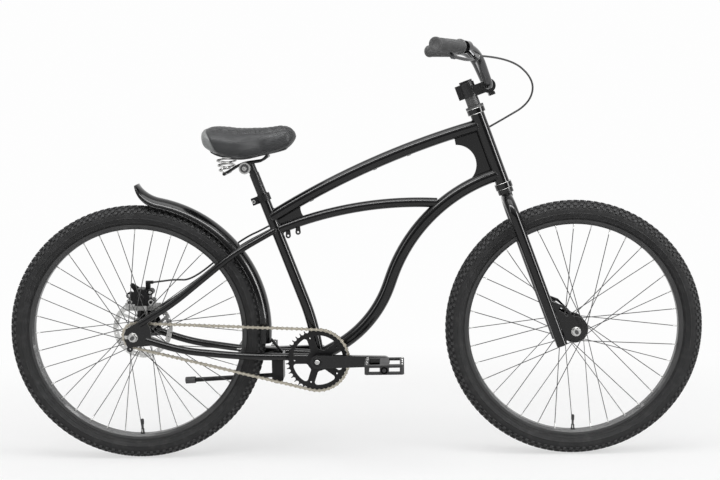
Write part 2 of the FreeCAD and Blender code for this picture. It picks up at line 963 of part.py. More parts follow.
# Toothed wheels, with their seats on the chain's pins
def toothed(count, radius, centre, first_pin):
    """A toothed plate on the chain line; each tooth stands midway between two pins."""
    offset = first_pin - centre
    phase = math.atan2(offset.z, offset.x)
    corners = []
    tip = radius + size("tooth_height")
    tip_turn = size("tooth_tip_half") / tip
    swing = math.radians(size("roller_seat_angle"))
    for i in range(int(count)):
        angle = phase + math.tau * i / count
        outward = V(math.cos(angle), 0, math.sin(angle))
        across = V(-math.sin(angle), 0, math.cos(angle))
        seat = centre + outward * radius
        for turn in (-swing, 0, swing):
            way = across * math.sin(turn) - outward * math.cos(turn)
            corners.append(seat + way * size("seat_radius"))
        for turn in (-tip_turn, tip_turn):
            high = angle + math.pi / count + turn
            corners.append(centre + V(math.cos(high), 0, math.sin(high)) * tip)
    blank = plate(corners, size("ring_thickness"))
    blank.translate(Y * -size("chain_line"))
    return blank


line = Y * -size("chain_line")
half_ring = Y * (size("ring_thickness") / 2)
on_cog = [p for p in pins if abs((p - rear).Length - cog_radius) < size("running_gap") / 100]
cog = toothed(size("cog_teeth"), cog_radius, rear, on_cog[0])
wheel_out = rear - Y * size("freewheel_out")
wheel_in = rear - Y * size("freewheel_in")
cog = cog.fuse(rod(wheel_out, wheel_in, size("freewheel_radius")))
bore = size("rear_neck_radius") + size("running_gap")
over = Y * size("cut_overrun")
solid_node("freewheel", [cog.cut(rod(wheel_out - over, wheel_in + over, bore))])



def ring_window(middle, step):
    """A rounded opening of the chainring between two arms of even width."""
    centre = bracket + line - half_ring * 2

    def at(radius, turn):
        return centre + V(math.cos(middle + turn), 0, math.sin(middle + turn)) * radius

    inner = size("ring_window_in")
    outer = size("ring_window_out")
    low = step / 2 - math.asin(size("ring_arm_half") / inner)
    high = step / 2 - math.asin(size("ring_arm_half") / outer)
    edges = [
        Part.Arc(at(outer, -high), at(outer, 0), at(outer, high)).toShape(),
        Part.LineSegment(at(outer, high), at(inner, low)).toShape(),
        Part.Arc(at(inner, low), at(inner, 0), at(inner, -low)).toShape(),
        Part.LineSegment(at(inner, -low), at(outer, -high)).toShape(),
    ]
    window = Part.Face(Part.Wire(edges)).extrude(half_ring * 4)
    upright = [e for e in window.Edges if abs(e.tangentAt(e.FirstParameter).y) > 1 / 2]
    return window.makeFillet(size("ring_window_corner"), upright)


chainring = toothed(size("ring_teeth"), ring_radius, bracket, pins[0])
for i in range(int(size("ring_arm_count"))):
    step = math.tau / size("ring_arm_count")
    angle = math.radians(size("ring_arm_first_angle")) + step * i
    away = V(math.cos(angle), 0, math.sin(angle)) * size("ring_hole_circle")
    low = bracket + line - half_ring * 2 + away
    hole = rod(low, low + half_ring * 4, size("ring_hole_radius"))
    chainring = cut_all(chainring, [hole, ring_window(angle + step / 2, step)])
spindle = rod(
    bracket - Y * size("spindle_half"), bracket + Y * size("spindle_half"), size("spindle_radius")
)
solid_node("chainring", [chainring.cut(spindle)])


# Chain: rollers on every pin, inner and outer links in turn
def link(pin, after, offset):
    """One link plate between two pins, its inner face at an offset from the chain line."""
    run = (after - pin).normalize()
    up = V(-run.z, 0, run.x) * size("link_height_half")
    end = run * size("link_end")
    waist = run * size("link_waist")
    corners = [
        pin - end,
        pin + waist + up,
        after - waist + up,
        after + end,
        after - waist - up,
        pin + waist - up,
    ]
    flat = plate(corners, size("link_thickness"))
    flat.translate(line + Y * offset)
    return flat


links = []
inner_offset = size("roller_half") + size("link_thickness") / 2
for i, pin in enumerate(pins):
    after = pins[(i + 1) % len(pins)]
    reach = Y * size("roller_half")
    links.append(hexagon(pin + line - reach, pin + line + reach, size("roller_radius")))
    offset = inner_offset + (i % 2) * size("link_thickness")
    links.append(link(pin, after, offset))
    links.append(link(pin, after, -offset))
solid_node("chain", links)


# Cranks and pedals
def strap(start, start_radius, end, end_radius, low, high):
    """A tapered arm with round ends, from one y to another."""
    run = end - start
    heading = math.atan2(run.z, run.x)
    spread = math.acos((start_radius - end_radius) / V(run.x, 0, run.z).Length)

    def at(centre, radius, angle):
        return V(centre.x + radius * math.cos(angle), low, centre.z + radius * math.sin(angle))

    one = at(start, start_radius, heading + spread)
    two = at(start, start_radius, heading - spread)
    three = at(end, end_radius, heading - spread)
    four = at(end, end_radius, heading + spread)
    edges = [
        Part.Arc(one, at(start, start_radius, heading + math.pi), two).toShape(),
        Part.LineSegment(two, three).toShape(),
        Part.Arc(three, at(end, end_radius, heading), four).toShape(),
        Part.LineSegment(four, one).toShape(),
    ]
    return Part.Face(Part.Wire(edges)).extrude(Y * (high - low))


arms = []
pedal_pins = []
for side, ahead in ((-1, 1), (1, -1)):
    end = bracket + V(ahead * size("crank_length"), 0, 0)
    low, high = sorted((side * size("crank_in"), side * size("crank_out")))
    arm = strap(bracket, size("crank_boss_radius"), end, size("crank_end_radius"), low, high)
    ring_face = size("chain_line") + size("ring_thickness") / 2
    if side < 0:
        boss = (bracket - Y * ring_face, bracket - Y * size("crank_in"))
        arm = arm.fuse(rod(*boss, size("crank_boss_radius")))
    pin = rod(
        end + Y * side * size("crank_in"),
        end + Y * side * size("pedal_pin_end"),
        size("pedal_pin_radius"),
    )
    arms.append(cut_all(arm, [spindle, pin]))
    pedal_pins.append(pin)
solid_node("crank_arms", arms)
solid_node("crank_spindle", [spindle] + pedal_pins)


def pedal(centre, side):
    """A platform pedal: a barrel on the pin inside a rounded cage, open above and at both ends."""
    length = size("pedal_half")
    height = size("pedal_height_half")
    low, high = sorted((side * size("pedal_in"), side * size("pedal_out")))
    block = box(centre + V(-length, low, -height), centre + V(length, high, height))
    upright = [e for e in block.Edges if abs(e.tangentAt(e.FirstParameter).z) > 1 / 2]
    block = block.makeFillet(size("pedal_corner"), upright)
    for way in (-1, 1):
        ends = sorted((way * size("pedal_barrel_radius"), way * (length - size("pedal_rail"))))
        rim = size("pedal_side")
        over = size("cut_overrun")
        opening = box(
            centre + V(ends[0], low + rim, -height - over),
            centre + V(ends[1], high - rim, height + over),
        )
        window = box(
            centre + V(ends[0], low - over, -size("pedal_window_half")),
            centre + V(ends[1], high + over, size("pedal_window_half")),
        )
        block = cut_all(block, [opening, window])
    out = centre + Y * side * size("pedal_out")
    cap = rod(out, out + Y * side * size("pedal_cap_height"), size("pedal_cap_radius"))
    start = centre + Y * side * (size("pedal_in") - size("cut_overrun"))
    stop = centre + Y * side * (size("pedal_pin_end") + end_play)
    bore = rod(start, stop, size("pedal_pin_radius") + size("running_gap"))
    return block.fuse(cap).cut(bore)


solid_node("pedal_right", [pedal(bracket + V(size("crank_length"), 0, 0), -1)])
solid_node("pedal_left", [pedal(bracket - V(size("crank_length"), 0, 0), 1)])

# Frame tubes, each coped to the one that it is welded to
pipe(
    "head_tube",
    "head_tube_radius",
    "head_tube_bore",
    "Sizes.head_length",
    head_low,
    steer_axis,
)
shell_low = bracket - Y * size("bracket_shell_half")
pipe(
    "bottom_bracket_shell",
    "bracket_shell_radius",
    "bracket_shell_bore",
    "2 * Sizes.bracket_shell_half",
    shell_low,
    Y,
)
head_solid = rod(head_low, head_high, size("head_tube_radius"))
shell_solid = rod(shell_low, bracket + Y * size("bracket_shell_half"), size("bracket_shell_radius"))

seat_top = point("seat_tube_top")
seat_axis = (seat_top - point("seat_tube_bend")).normalize()
seat_path, seat_radii = rounded_path([seat_top, point("seat_tube_bend"), bracket], SEAT_BEND_SHARES)
seat_solid = tube(seat_path, size("seat_tube_radius"))
seat_bore = rod(
    seat_top + seat_axis * size("cut_overrun"),
    seat_top - seat_axis * size("seat_bore_depth"),
    size("post_radius") + size("running_gap"),
)
solid_node("seat_tube", [biggest(cut_all(seat_solid, [shell_solid, seat_bore]))])

down_room = front.x - size("tyre_radius") - bracket.x
down_low = V(bracket.x + down_room * size("down_low_share"), 0, rear.z + size("down_low_rise"))
lead = (point("down_head") - point("down_high")).normalize() * size("down_tube_radius") / 2
down_path, down_radii = rounded_path(
    [point("down_head") + lead, point("down_high"), down_low, bracket], DOWN_BEND_SHARES
)
down_solid = tube(down_path, size("down_tube_radius"))
down_solid = biggest(cut_all(down_solid, [head_solid, shell_solid, seat_solid]))
solid_node("down_tube", [down_solid])

top_path = bowed(point("top_tube_rear"), point("top_tube_front"), size("top_tube_rise"))
top_solid = biggest(cut_all(tube(top_path, size("top_tube_radius")), [head_solid, seat_solid]))
solid_node("top_tube", [top_solid])

mid_path = bowed(point("mid_tube_rear"), point("mid_tube_front"), size("mid_tube_rise"))
mid_solid = biggest(cut_all(tube(mid_path, size("mid_tube_radius")), [seat_solid, down_solid]))
solid_node("mid_tube", [mid_solid])

# Dropout plates with rear-facing axle slots and an eyelet; the left one carries the brake tab
DROPOUT_SHARES = [
    (-0.36, 0.42),
    (0.64, 1.0),
    (0.9, 0.34),
    (0.88, -0.44),
    (-0.3, -0.52),
    (-0.52, 0.0),
]
TAB_SHARES = [(-0.36, 0.42), (-0.34, 1.12), (0.72, 1.12), (0.72, 0.5)]


def shared(centre, reach, table):
    """Corners round a centre from shares of one reach."""
    return [centre + V(a * reach, 0, b * reach) for a, b in table]


axle_solid = rod(rear - Y * size("rear_axle_half"), rear + Y * size("rear_axle_half"), size("axle_radius"))
dropouts = []
for side in (-1, 1):
    reach = size("dropout_reach")
    blade = plate(shared(rear, reach, DROPOUT_SHARES), size("dropout_thickness"))
    eye = rear + V(size("eyelet_x"), 0, size("eyelet_z"))
    half = Y * (size("dropout_thickness") / 2)
    blade = blade.fuse(rod(eye - half, eye + half, size("eyelet_radius")))
    if side > 0:
        blade = blade.fuse(plate(shared(rear, reach, TAB_SHARES), size("dropout_thickness")))
    blade = blade.cut(rod(eye - half * 2, eye + half * 2, size("eyelet_bore")))
    slot = size("axle_radius")
    blade = blade.cut(box(rear + V(-reach, -reach, -slot), rear + V(0, reach, slot)))
    blade.translate(Y * side * (size("rear_old_half") + size("dropout_thickness") / 2))
    dropouts.append(blade.cut(axle_solid).removeSplitter())
solid_node("rear_dropouts", dropouts)

# Stays with their bridges
seat_stays = []
chain_stays = []
for side in (-1, 1):
    names = ("seat_stay_top", "seat_stay_bend", "seat_stay_low", "seat_stay_end")
    stay_path, stay_radii = rounded_path([point(name, side) for name in names], SOFT_BEND_SHARES)
    stay = tube(stay_path, size("seat_stay_radius"))
    seat_stays.append(biggest(cut_all(stay, [seat_solid, mid_solid] + dropouts)))
    start = bracket + V(0, side * size("chain_stay_front_y"), size("chain_stay_front_rise"))
    names = ("chain_stay_mid", "chain_stay_rear", "chain_stay_end")
    stay_path, stay_radii = rounded_path([start] + [point(n, side) for n in names], SOFT_BEND_SHARES)
    stay = tube(stay_path, size("chain_stay_radius"))
    chain_stays.append(biggest(cut_all(stay, [shell_solid, seat_solid] + dropouts)))
stay_top = point("seat_stay_top")
stay_run = point("seat_stay_bend") - stay_top
flat_run = V(stay_run.x, 0, stay_run.z)
from_axle = V(stay_top.x, 0, stay_top.z) - rear
room = from_axle.Length - size("fender_radius")
bridge_radius = size("fender_radius") + room * size("seat_bridge_share")
half_dot = from_axle.dot(flat_run) / flat_run.dot(flat_run)
excess = (from_axle.dot(from_axle) - bridge_radius ** 2) / flat_run.dot(flat_run)
bridge_at = stay_top + stay_run * (-half_dot - math.sqrt(half_dot ** 2 - excess))
seat_bridge = rod(V(bridge_at.x, -bridge_at.y, bridge_at.z), bridge_at, size("bridge_radius"))
seat_stays.append(biggest(cut_all(seat_bridge, seat_stays)))
solid_node("seat_stays", seat_stays)
bridge_side = Y * size("chain_stay_mid_y") * size("chain_bridge_share")
chain_bridge = rod(
    point("chain_bridge") - bridge_side, point("chain_bridge") + bridge_side, size("bridge_radius")
)
chain_stays.append(biggest(cut_all(chain_bridge, chain_stays)))
solid_node("chain_stays", chain_stays)


# Gusset plates between the tubes, and two cable hooks under the middle tube
def arched_plate(corners, deep):
    """A plate whose last edge, back to the first corner, is hollowed through one point."""
    half = Y * (size("gusset_thickness") / 2)
    edges = [Part.LineSegment(a - half, b - half).toShape() for a, b in zip(corners, corners[1:])]
    edges.append(Part.Arc(corners[-1] - half, deep - half, corners[0] - half).toShape())
    return Part.Face(Part.Wire(edges)).extrude(half * 2)


tubes = [head_solid, seat_solid, top_solid, down_solid, mid_solid]
head_gusset = arched_plate(
    [point("gusset_high"), point("gusset_roof"), point("top_tube_front"), point("down_head"),
     point("gusset_floor"), point("gusset_low")],
    point("gusset_deep"),
)
gussets = [biggest(cut_all(head_gusset, tubes))]
seat_gusset = arched_plate(
    [point("seat_gusset_high"), point("top_tube_rear"), point("mid_tube_rear"), point("seat_gusset_low")],
    point("seat_gusset_deep"),
)
gussets.append(biggest(cut_all(seat_gusset, tubes)))
for name in ("hook_rear", "hook_front"):
    eye = point(name)
    half = size("gusset_thickness") / 2
    root = eye + V(0, 0, size("hook_reach"))
    hook = strap(eye, size("hook_radius"), root, size("hook_root_radius"), -half, half)
    reach = Y * size("hook_radius")
    hook = hook.cut(rod(eye - reach, eye + reach, size("hook_eye_radius")))
    gussets.append(biggest(cut_all(hook, tubes)))
solid_node("frame_gussets", gussets)

# Headset cups and bottom bracket cups, bored to run on the steerer and the spindle
steerer_run = size("steerer_radius") + size("running_gap")
cups = [
    sleeve(steer(size("lower_cup_low")), head_low, size("lower_cup_radius"), steerer_run),
    sleeve(head_high, steer(size("upper_cup_high")), size("upper_cup_radius"), steerer_run),
]
spindle_run = size("spindle_radius") + size("running_gap")
for side in (-1, 1):
    face = bracket + Y * side * size("bracket_shell_half")
    out = face + Y * side * size("bracket_cup_flange")
    deep = face - Y * side * size("bracket_cup_flange") * 3
    flange = rod(face, out, size("bracket_cup_radius"))
    cup = flange.fuse(rod(deep, face, size("bracket_shell_bore")))
    over = Y * side * size("cut_overrun")
    cups.append(cup.cut(rod(deep - over, out + over, spindle_run)))
solid_node("bearing_cups", cups)

# Seat collar with a bolted slot behind
collar_low = seat_top - seat_axis * size("collar_low")
collar_high = seat_top - seat_axis * size("collar_high")
collar = rod(collar_low, collar_high, size("collar_radius"))
ear = box(
    V(-size("collar_ear_reach"), -size("collar_ear_half"), 0),
    V(0, size("collar_ear_half"), size("collar_low") - size("collar_high")),
)
ear.Placement = FreeCAD.Placement(collar_low, FreeCAD.Rotation(V(0, 0, 1), seat_axis))
slot = box(
    V(-size("collar_ear_reach") * 2, -size("collar_slot_half"), -size("cut_overrun")),
    V(0, size("collar_slot_half"), size("collar_low")),
)
slot.Placement = ear.Placement
behind = V(-seat_axis.z, 0, seat_axis.x)
bolt_at = (collar_low + collar_high) / 2 + behind * size("collar_bolt_reach")
bolt_reach = Y * size("collar_bolt_half")
bolt = rod(bolt_at - bolt_reach, bolt_at + bolt_reach, size("collar_bolt_radius"))
over = seat_axis * size("cut_overrun")
post_hole = rod(collar_low - over, collar_high + over, size("seat_tube_radius"))
collar = cut_all(collar.fuse(ear), [slot, post_hole, bolt]).removeSplitter()
solid_node("seat_collar", [collar, bolt])

# Rear fender: one section turned about the wheel, then turned back up into the tail
fender_at = rear + V(size("fender_shift_x"), 0, size("fender_shift_z"))


def ray(angle):
    """A direction in the middle plane, by its angle from straight ahead."""
    return V(math.cos(math.radians(angle)), 0, math.sin(math.radians(angle)))


def fender_face(angle):
    """The fender's section where it crosses one ray from the wheel."""
    top = size("fender_radius")
    wall = size("fender_wall")
    half = size("fender_half")
    shoulder = size("fender_shoulder_half")
    outer = [
        (top - size("fender_skirt_drop"), half),
        (top - size("fender_shoulder_drop"), shoulder),
        (top, shoulder / 3),
    ]
    inner = [
        (top - wall, shoulder / 3 - wall / 3),
        (top - size("fender_shoulder_drop") - wall, shoulder - wall / 2),
        (top - size("fender_skirt_drop"), half - wall),
    ]
    row = outer + [(r, -y) for r, y in reversed(outer)]
    row += [(r, -y) for r, y in reversed(inner)] + inner
    places = [fender_at + ray(angle) * r + Y * y for r, y in row]
    return Part.Face(Part.makePolygon(places + places[:1]))


front_angle = size("fender_front_angle")
rear_angle = size("fender_rear_angle")
guard = fender_face(front_angle).revolve(fender_at, -Y, rear_angle - front_angle)
tail_at = fender_at + ray(rear_angle) * (size("fender_radius") + size("fender_tail_radius"))
tail = fender_face(rear_angle).revolve(tail_at, Y, size("fender_tail_angle"))
fender = guard.fuse(tail).removeSplitter()
bridge_mid = V(bridge_at.x, 0, bridge_at.z)
pegs = []
low_angle = front_angle * size("fender_peg_share")
for start, stop_angle in ((bridge_mid, None), (point("chain_bridge"), low_angle)):
    stop = fender_at if stop_angle is None else fender_at + ray(stop_angle) * size("fender_radius")
    away = (stop - start).normalize()
    length = (start - fender_at).Length - size("fender_radius") + size("cut_overrun")
    peg = rod(start, start + away * length if stop_angle is None else stop, size("fender_peg_radius"))
    pegs.append(cut_all(peg, [seat_bridge, chain_bridge, fender]).Solids[0])
solid_node("rear_fender", [fender] + pegs)

# Fork: a one-piece arched tube on the steerer, with plate tips
crown = size("crown_station")
back = -size("leg_back")
wide = size("leg_side")
leg_corners = [
    steer(size("leg_low"), back, wide),
    steer(crown, back, wide),
    steer(crown, back, -wide),
    steer(size("leg_low"), back, -wide),
]
leg_path, leg_radii = rounded_path(leg_corners, SOFT_BEND_SHARES)
legs = tube(leg_path, size("leg_radius"))
steerer = sleeve(
    steer(size("crown_station")), steer(size("stem_high")), size("steerer_radius"), size("steerer_bore")
)
steerer_solid = rod(steer(size("crown_station")), steer(size("stem_high")), size("steerer_radius"))
race = rod(
    steer(size("crown_race_low")), steer(size("crown_race_high")), size("crown_race_radius")
)
race = biggest(cut_all(race, [legs, steerer_solid]))
solid_node("fork_steerer", [biggest(steerer.cut(legs)), race])
front_axle_solid = rod(
    front - Y * size("front_axle_half"), front + Y * size("front_axle_half"), size("axle_radius")
)
tips = []
for side in (-1, 1):
    corners = [
        steer(size("fork_tip_high"), back),
        steer(size("fork_tip_high"), size("fork_tip_high_ahead")),
        steer(size("fork_tip_brow"), size("fork_tip_brow_ahead")),
        steer(size("fork_tip_knee"), size("fork_tip_knee_ahead")),
        steer(0, size("fork_offset") + size("fork_tip_radius")),
        steer(-size("fork_tip_radius"), size("fork_offset")),
        steer(-size("fork_tip_radius"), back),
    ]
    half = size("fork_tip_thickness") / 2
    tip = plate(corners, size("fork_tip_thickness"))
    tip = tip.fuse(rod(front - Y * half, front + Y * half, size("fork_tip_radius")))
    slot = strap(
        steer(size("fork_slot_high"), size("fork_slot_high_ahead")),
        size("fork_slot_radius"),
        steer(size("fork_slot_low"), size("fork_slot_low_ahead")),
        size("fork_slot_radius"),
        -half * 2,
        half * 2,
    )
    tip = tip.cut(slot)
    tip.translate(Y * side * (size("front_old_half") + half))
    tips.append(biggest(cut_all(tip, [legs, front_axle_solid])).removeSplitter())
solid_node("fork_legs", [legs] + tips)

# Headset cover, spacer, stem and cap
cover = sleeve(
    steer(size("cover_low")), steer(size("cover_high")), size("cover_radius"), size("steerer_radius")
)
spacer = sleeve(
    steer(size("cover_high")), steer(size("stem_low")), size("spacer_radius"), size("steerer_radius")
)
solid_node("headset_spacers", [cover, spacer])
cap_low = steer(size("stem_high"))
stem_cap = rod(cap_low, cap_low + steer_axis * size("cap_height"), size("cap_radius"))
steer_turn = FreeCAD.Rotation(Y, size("head_angle") - 90)


def steer_block(ahead_low, ahead_high, half, low, high):
    """A block squared to the steering axis."""
    block = box(V(ahead_low, -half, low), V(ahead_high, half, high))
    block.Placement = FreeCAD.Placement(steer_foot, steer_turn)
    return block


station = size("bar_station")
reach = size("stem_reach")
bulge = rod(
    bar_at - Y * size("bar_bulge_half"), bar_at + Y * size("bar_bulge_half"), size("bar_bulge_radius")
)
clamp = rod(
    bar_at - Y * size("stem_clamp_half"), bar_at + Y * size("stem_clamp_half"), size("stem_clamp_radius")
)
lugs = steer_block(
    reach - size("stem_lug_depth"),
    reach + size("stem_lug_depth"),
    size("stem_clamp_half"),
    station - size("stem_lug_half"),
    station + size("stem_lug_half"),
)
clamp = clamp.fuse(lugs)
gap = size("stem_clamp_gap") / 2
big = size("stem_reach")
split_back = steer_block(reach - gap, reach + big, big, station - big, station + big)
split_front = steer_block(reach - big, reach + gap, big, station - big, station + big)
bolts = []
for side in (-1, 1):
    for way in (-1, 1):
        high = station + way * size("stem_bolt_station")
        across = side * size("stem_bolt_side")
        face = steer(high, reach + size("stem_lug_depth"), across)
        deep = steer(high, reach - size("stem_lug_depth"), across)
        tip = face + steer_ahead * size("stem_bolt_head_height")
        head = rod(face, tip, size("stem_bolt_head_radius"))
        bolts.append(rod(deep, face, size("stem_bolt_radius")).fuse(head))
faceplate = cut_all(clamp, [split_front, bulge] + bolts)
arm_low = station - size("stem_arm_height_half")
arm_high = station + size("stem_arm_height_half")
stem = rod(steer(size("stem_low")), steer(size("stem_high")), size("stem_radius"))
ears = steer_block(
    -size("stem_ear_back"), 0, size("stem_ear_half"), size("stem_low"), size("stem_high")
)
stem = stem.fuse(ears).fuse(steer_block(0, reach, size("stem_arm_half"), arm_low, arm_high))
stem = stem.fuse(cut_all(clamp, [split_back]))
pinch = steer_block(
    -size("stem_ear_back") * 2, 0, size("stem_slot_half"), arm_low - big, arm_high + big
)
stem = cut_all(stem, [pinch, steerer_solid, spacer, bulge, split_back] + bolts)
solid_node("stem_body", [biggest(stem).removeSplitter()])
solid_node("stem_faceplate", [biggest(faceplate)])
solid_node("stem_bolts", bolts + [stem_cap])

# Handlebar, swept back from two risers
bar_foot = Y * size("bar_foot_y")
bar_corners = [point("bar_end", -1), point("bar_rise", -1), bar_at - bar_foot]
bar_corners += [bar_at + bar_foot, point("bar_rise"), point("bar_end")]
rise_share = size("bar_rise_share")
foot_share = size("bar_foot_share")
bar_path, bar_radii = rounded_path(bar_corners, (rise_share, foot_share, foot_share, rise_share))
handlebar = tube(bar_path, size("bar_radius")).fuse(bulge)
solid_node("handlebar", [handlebar])
grips = []
for side in (-1, 1):
    end = point("bar_end", side)
    out = (end - point("bar_rise", side)).normalize()
    start = end - out * size("grip_length")
    cap = end + out * size("grip_cap")
    grip = rod(start, cap, size("grip_radius"))
    grip = grip.fuse(rod(start, start + out * size("grip_flange_width"), size("grip_flange_radius")))
    grips.append(grip.cut(rod(start - out * size("cut_overrun"), end, size("bar_radius"))))
solid_node("grips", grips)

# Brake lever on the right grip
end = point("bar_end", -1)
out = (end - point("bar_rise", -1)).normalize()
perch_at = end - out * size("perch_from_end")
slope = math.radians(size("perch_slope_angle"))
toward = V(math.cos(slope), 0, -math.sin(slope))
toward = (toward - out * toward.dot(out)).normalize()
hinge = out.cross(toward)
pivot = perch_at + toward * size("perch_reach")
perch = rod(perch_at - out * size("perch_half"), perch_at + out * size("perch_half"), size("perch_radius"))
perch = perch.fuse(rod(perch_at, pivot, size("perch_arm_radius")))
pin_reach = hinge * size("pivot_half")
perch = perch.fuse(rod(pivot - pin_reach, pivot + pin_reach, size("lever_boss_radius")))
yoke = hinge * (size("lever_half") + size("lever_gap"))
perch = perch.cut(rod(pivot - yoke, pivot + yoke, size("lever_boss_radius") + 2 * size("lever_gap")))
perch = perch.cut(handlebar)
barrel_at = perch_at + toward * size("barrel_reach")
barrel_end = barrel_at - out * (size("perch_arm_radius") + size("barrel_length"))
perch = perch.fuse(rod(barrel_at - out * size("perch_half") / 2, barrel_end, size("barrel_radius")))
lever_pin = rod(pivot - pin_reach, pivot + pin_reach, size("pivot_radius"))
perch = perch.cut(rod(pivot - yoke, pivot + yoke, size("lever_boss_radius") + 2 * size("lever_gap")))
perch = perch.fuse(lever_pin)
solid_node("brake_perch", [perch])
lever_half = hinge * size("lever_half")
blade_corners = [
    pivot,
    pivot + out * size("lever_knee") + toward * size("lever_bow"),
    pivot + out * size("lever_length"),
]
blade_path, blade_radii = rounded_path(blade_corners, [BEND_SHARE])
blade = tube(blade_path, size("lever_radius"))
blade = blade.fuse(rod(pivot - lever_half, pivot + lever_half, size("lever_boss_radius")))
blade_end = blade_corners[2]
blade_run = (blade_end - blade_corners[1]).normalize()
blade_stub = blade_run * size("lever_stub")
blade = blade.fuse(rod(blade_end - blade_stub, blade_end + blade_stub, size("lever_ball_radius")))
blade = blade.cut(rod(pivot - pin_reach, pivot + pin_reach, size("pivot_radius") + size("running_gap")))
solid_node("brake_lever", [blade])

# Brake cable: a free loop from the lever to the frame, then along the tubes to the caliper
loop_corners = [barrel_end]
loop_corners += [point("loop_" + name) for name in ("high", "front", "low", "back")]
loop_end = point("loop_end")
loop_corners.append(loop_end + (loop_corners[-1] - loop_end).normalize() * size("loop_trim"))
loop_path, loop_radii = rounded_path(loop_corners, [BEND_SHARE for _ in loop_corners[2:]])
solid_node("front_brake_cable", [tube(loop_path, size("cable_radius"), 8)])
ROUTE_SHARES = [0.9, 0.74, 0.58, 0.42, 0.26, 0.12]
stand_off = size("top_tube_radius") + size("cable_radius") + size("cable_stand")
arc = top_path.Edges[0]
route = [point("loop_end")]
for share in ROUTE_SHARES:
    along = arc.FirstParameter + (arc.LastParameter - arc.FirstParameter) * share
    run = arc.tangentAt(along)
    under = V(run.z, 0, -run.x) * (1 if run.x > 0 else -1)
    route.append(arc.valueAt(along) + (under + Y).normalize() * stand_off)
route += [point("cable_" + name) for name in ("seat", "stay", "low", "rise", "turn")]
stop_front = V(x_of("stop_front_x"), size("stop_y"), z_of("stop_z"))
route.append(stop_front)
cable_path, cable_radii = rounded_path(route, [BEND_SHARE for _ in route[2:]])
solid_node("rear_brake_cable", [tube(cable_path, size("cable_radius"), 8)])
print("cable bend radii", [round(r) for r in loop_radii + cable_radii])
clips = []
stay_cut = seat_stays[1]
for first in (0, 2, 3, 5, 8):
    middle = (route[first] + route[first + 1]) / 2
    run = (route[first + 1] - route[first]).normalize() * size("clip_half")
    ring = sleeve(middle - run, middle + run, size("clip_radius"), size("cable_radius"))
    clips.append(biggest(cut_all(ring, [top_solid, stay_cut])))
solid_node("cable_clips", clips)

# Rear disc caliper on its adapter, with a fixed pad, a moving pad and a lever arm
body = box(
    V(x_of("caliper_rear_x"), size("caliper_in"), z_of("caliper_low")),
    V(x_of("caliper_front_x"), size("caliper_out"), z_of("caliper_high")),
)
dome_at = V(x_of("caliper_dome_x"), 0, z_of("caliper_dome_z"))
dome = rod(dome_at, dome_at + Y * size("rear_axle_half"), size("caliper_dome_radius"))
ears = box(
    V(x_of("caliper_rear_x"), size("caliper_in"), z_of("caliper_low")),
    V(x_of("caliper_front_x"), size("caliper_out"), z_of("caliper_low") + size("caliper_ear")),
)
body = body.common(dome).fuse(ears)
stop_rear = V(x_of("stop_rear_x"), size("stop_y"), z_of("stop_z"))
lug = box(
    V(x_of("stop_rear_x"), size("stop_y") - size("stop_lug"), z_of("piston_z")),
    V(x_of("stop_lug_front_x"), size("caliper_out"), z_of("stop_z")),
)
body = body.fuse(lug).fuse(rod(stop_rear, stop_front, size("stop_radius")))
pad_face = size("rotor_inner_face") + size("rotor_thickness") + size("pad_gap")
pad_back = pad_face + size("pad_thickness")
piston_at = V(x_of("piston_x"), pad_back, z_of("piston_z"))
piston_end = piston_at + Y * size("piston_length")
piston_run = size("piston_radius") + size("running_gap")
slot = rod(
    rear + Y * size("caliper_slot_in"), rear + Y * size("caliper_slot_out"), size("caliper_slot_radius")
)
bore_start = piston_at - Y * size("pad_thickness")
bore = rod(bore_start, piston_end + Y * end_play, piston_run)
arm_pivot = V(x_of("arm_pivot_x"), size("caliper_out"), z_of("arm_pivot_z"))
arm_pin = rod(
    arm_pivot, arm_pivot + Y * (size("arm_pin_end") - size("caliper_out")), size("arm_pivot_radius")
)
body = cut_all(body, [slot, bore]).fuse(arm_pin)
still = box(
    V(x_of("pad_rear_x"), size("caliper_slot_in"), z_of("pad_low")),
    V(x_of("pad_front_x"), size("rotor_inner_face") - size("pad_gap"), z_of("pad_high")),
)
solid_node("caliper_body", [body.removeSplitter(), still])
moving = box(
    V(x_of("pad_rear_x"), pad_face, z_of("pad_low")), V(x_of("pad_front_x"), pad_back, z_of("pad_high"))
)
solid_node("moving_brake_pad", [moving.fuse(rod(piston_at, piston_end, size("piston_radius")))])
arm = strap(
    arm_pivot,
    size("arm_boss_radius"),
    V(x_of("arm_end_x"), 0, z_of("arm_end_z")),
    size("arm_end_radius"),
    size("arm_in"),
    size("arm_out"),
)
arm_hole = rod(
    arm_pivot, arm_pivot + Y * size("arm_pin_end"), size("arm_pivot_radius") + size("running_gap")
)
solid_node("caliper_arm", [arm.cut(arm_hole)])
adapter = box(
    V(x_of("adapter_rear_x"), size("rear_old_half") - size("adapter_thickness"), z_of("adapter_low")),
    V(x_of("adapter_front_x"), size("rear_old_half"), z_of("caliper_low")),
)
rotor_room = rod(rear, rear + Y * size("rear_axle_half"), size("adapter_low"))
solid_node("caliper_adapter", [biggest(cut_all(adapter, [seat_stays[1], rotor_room]))])

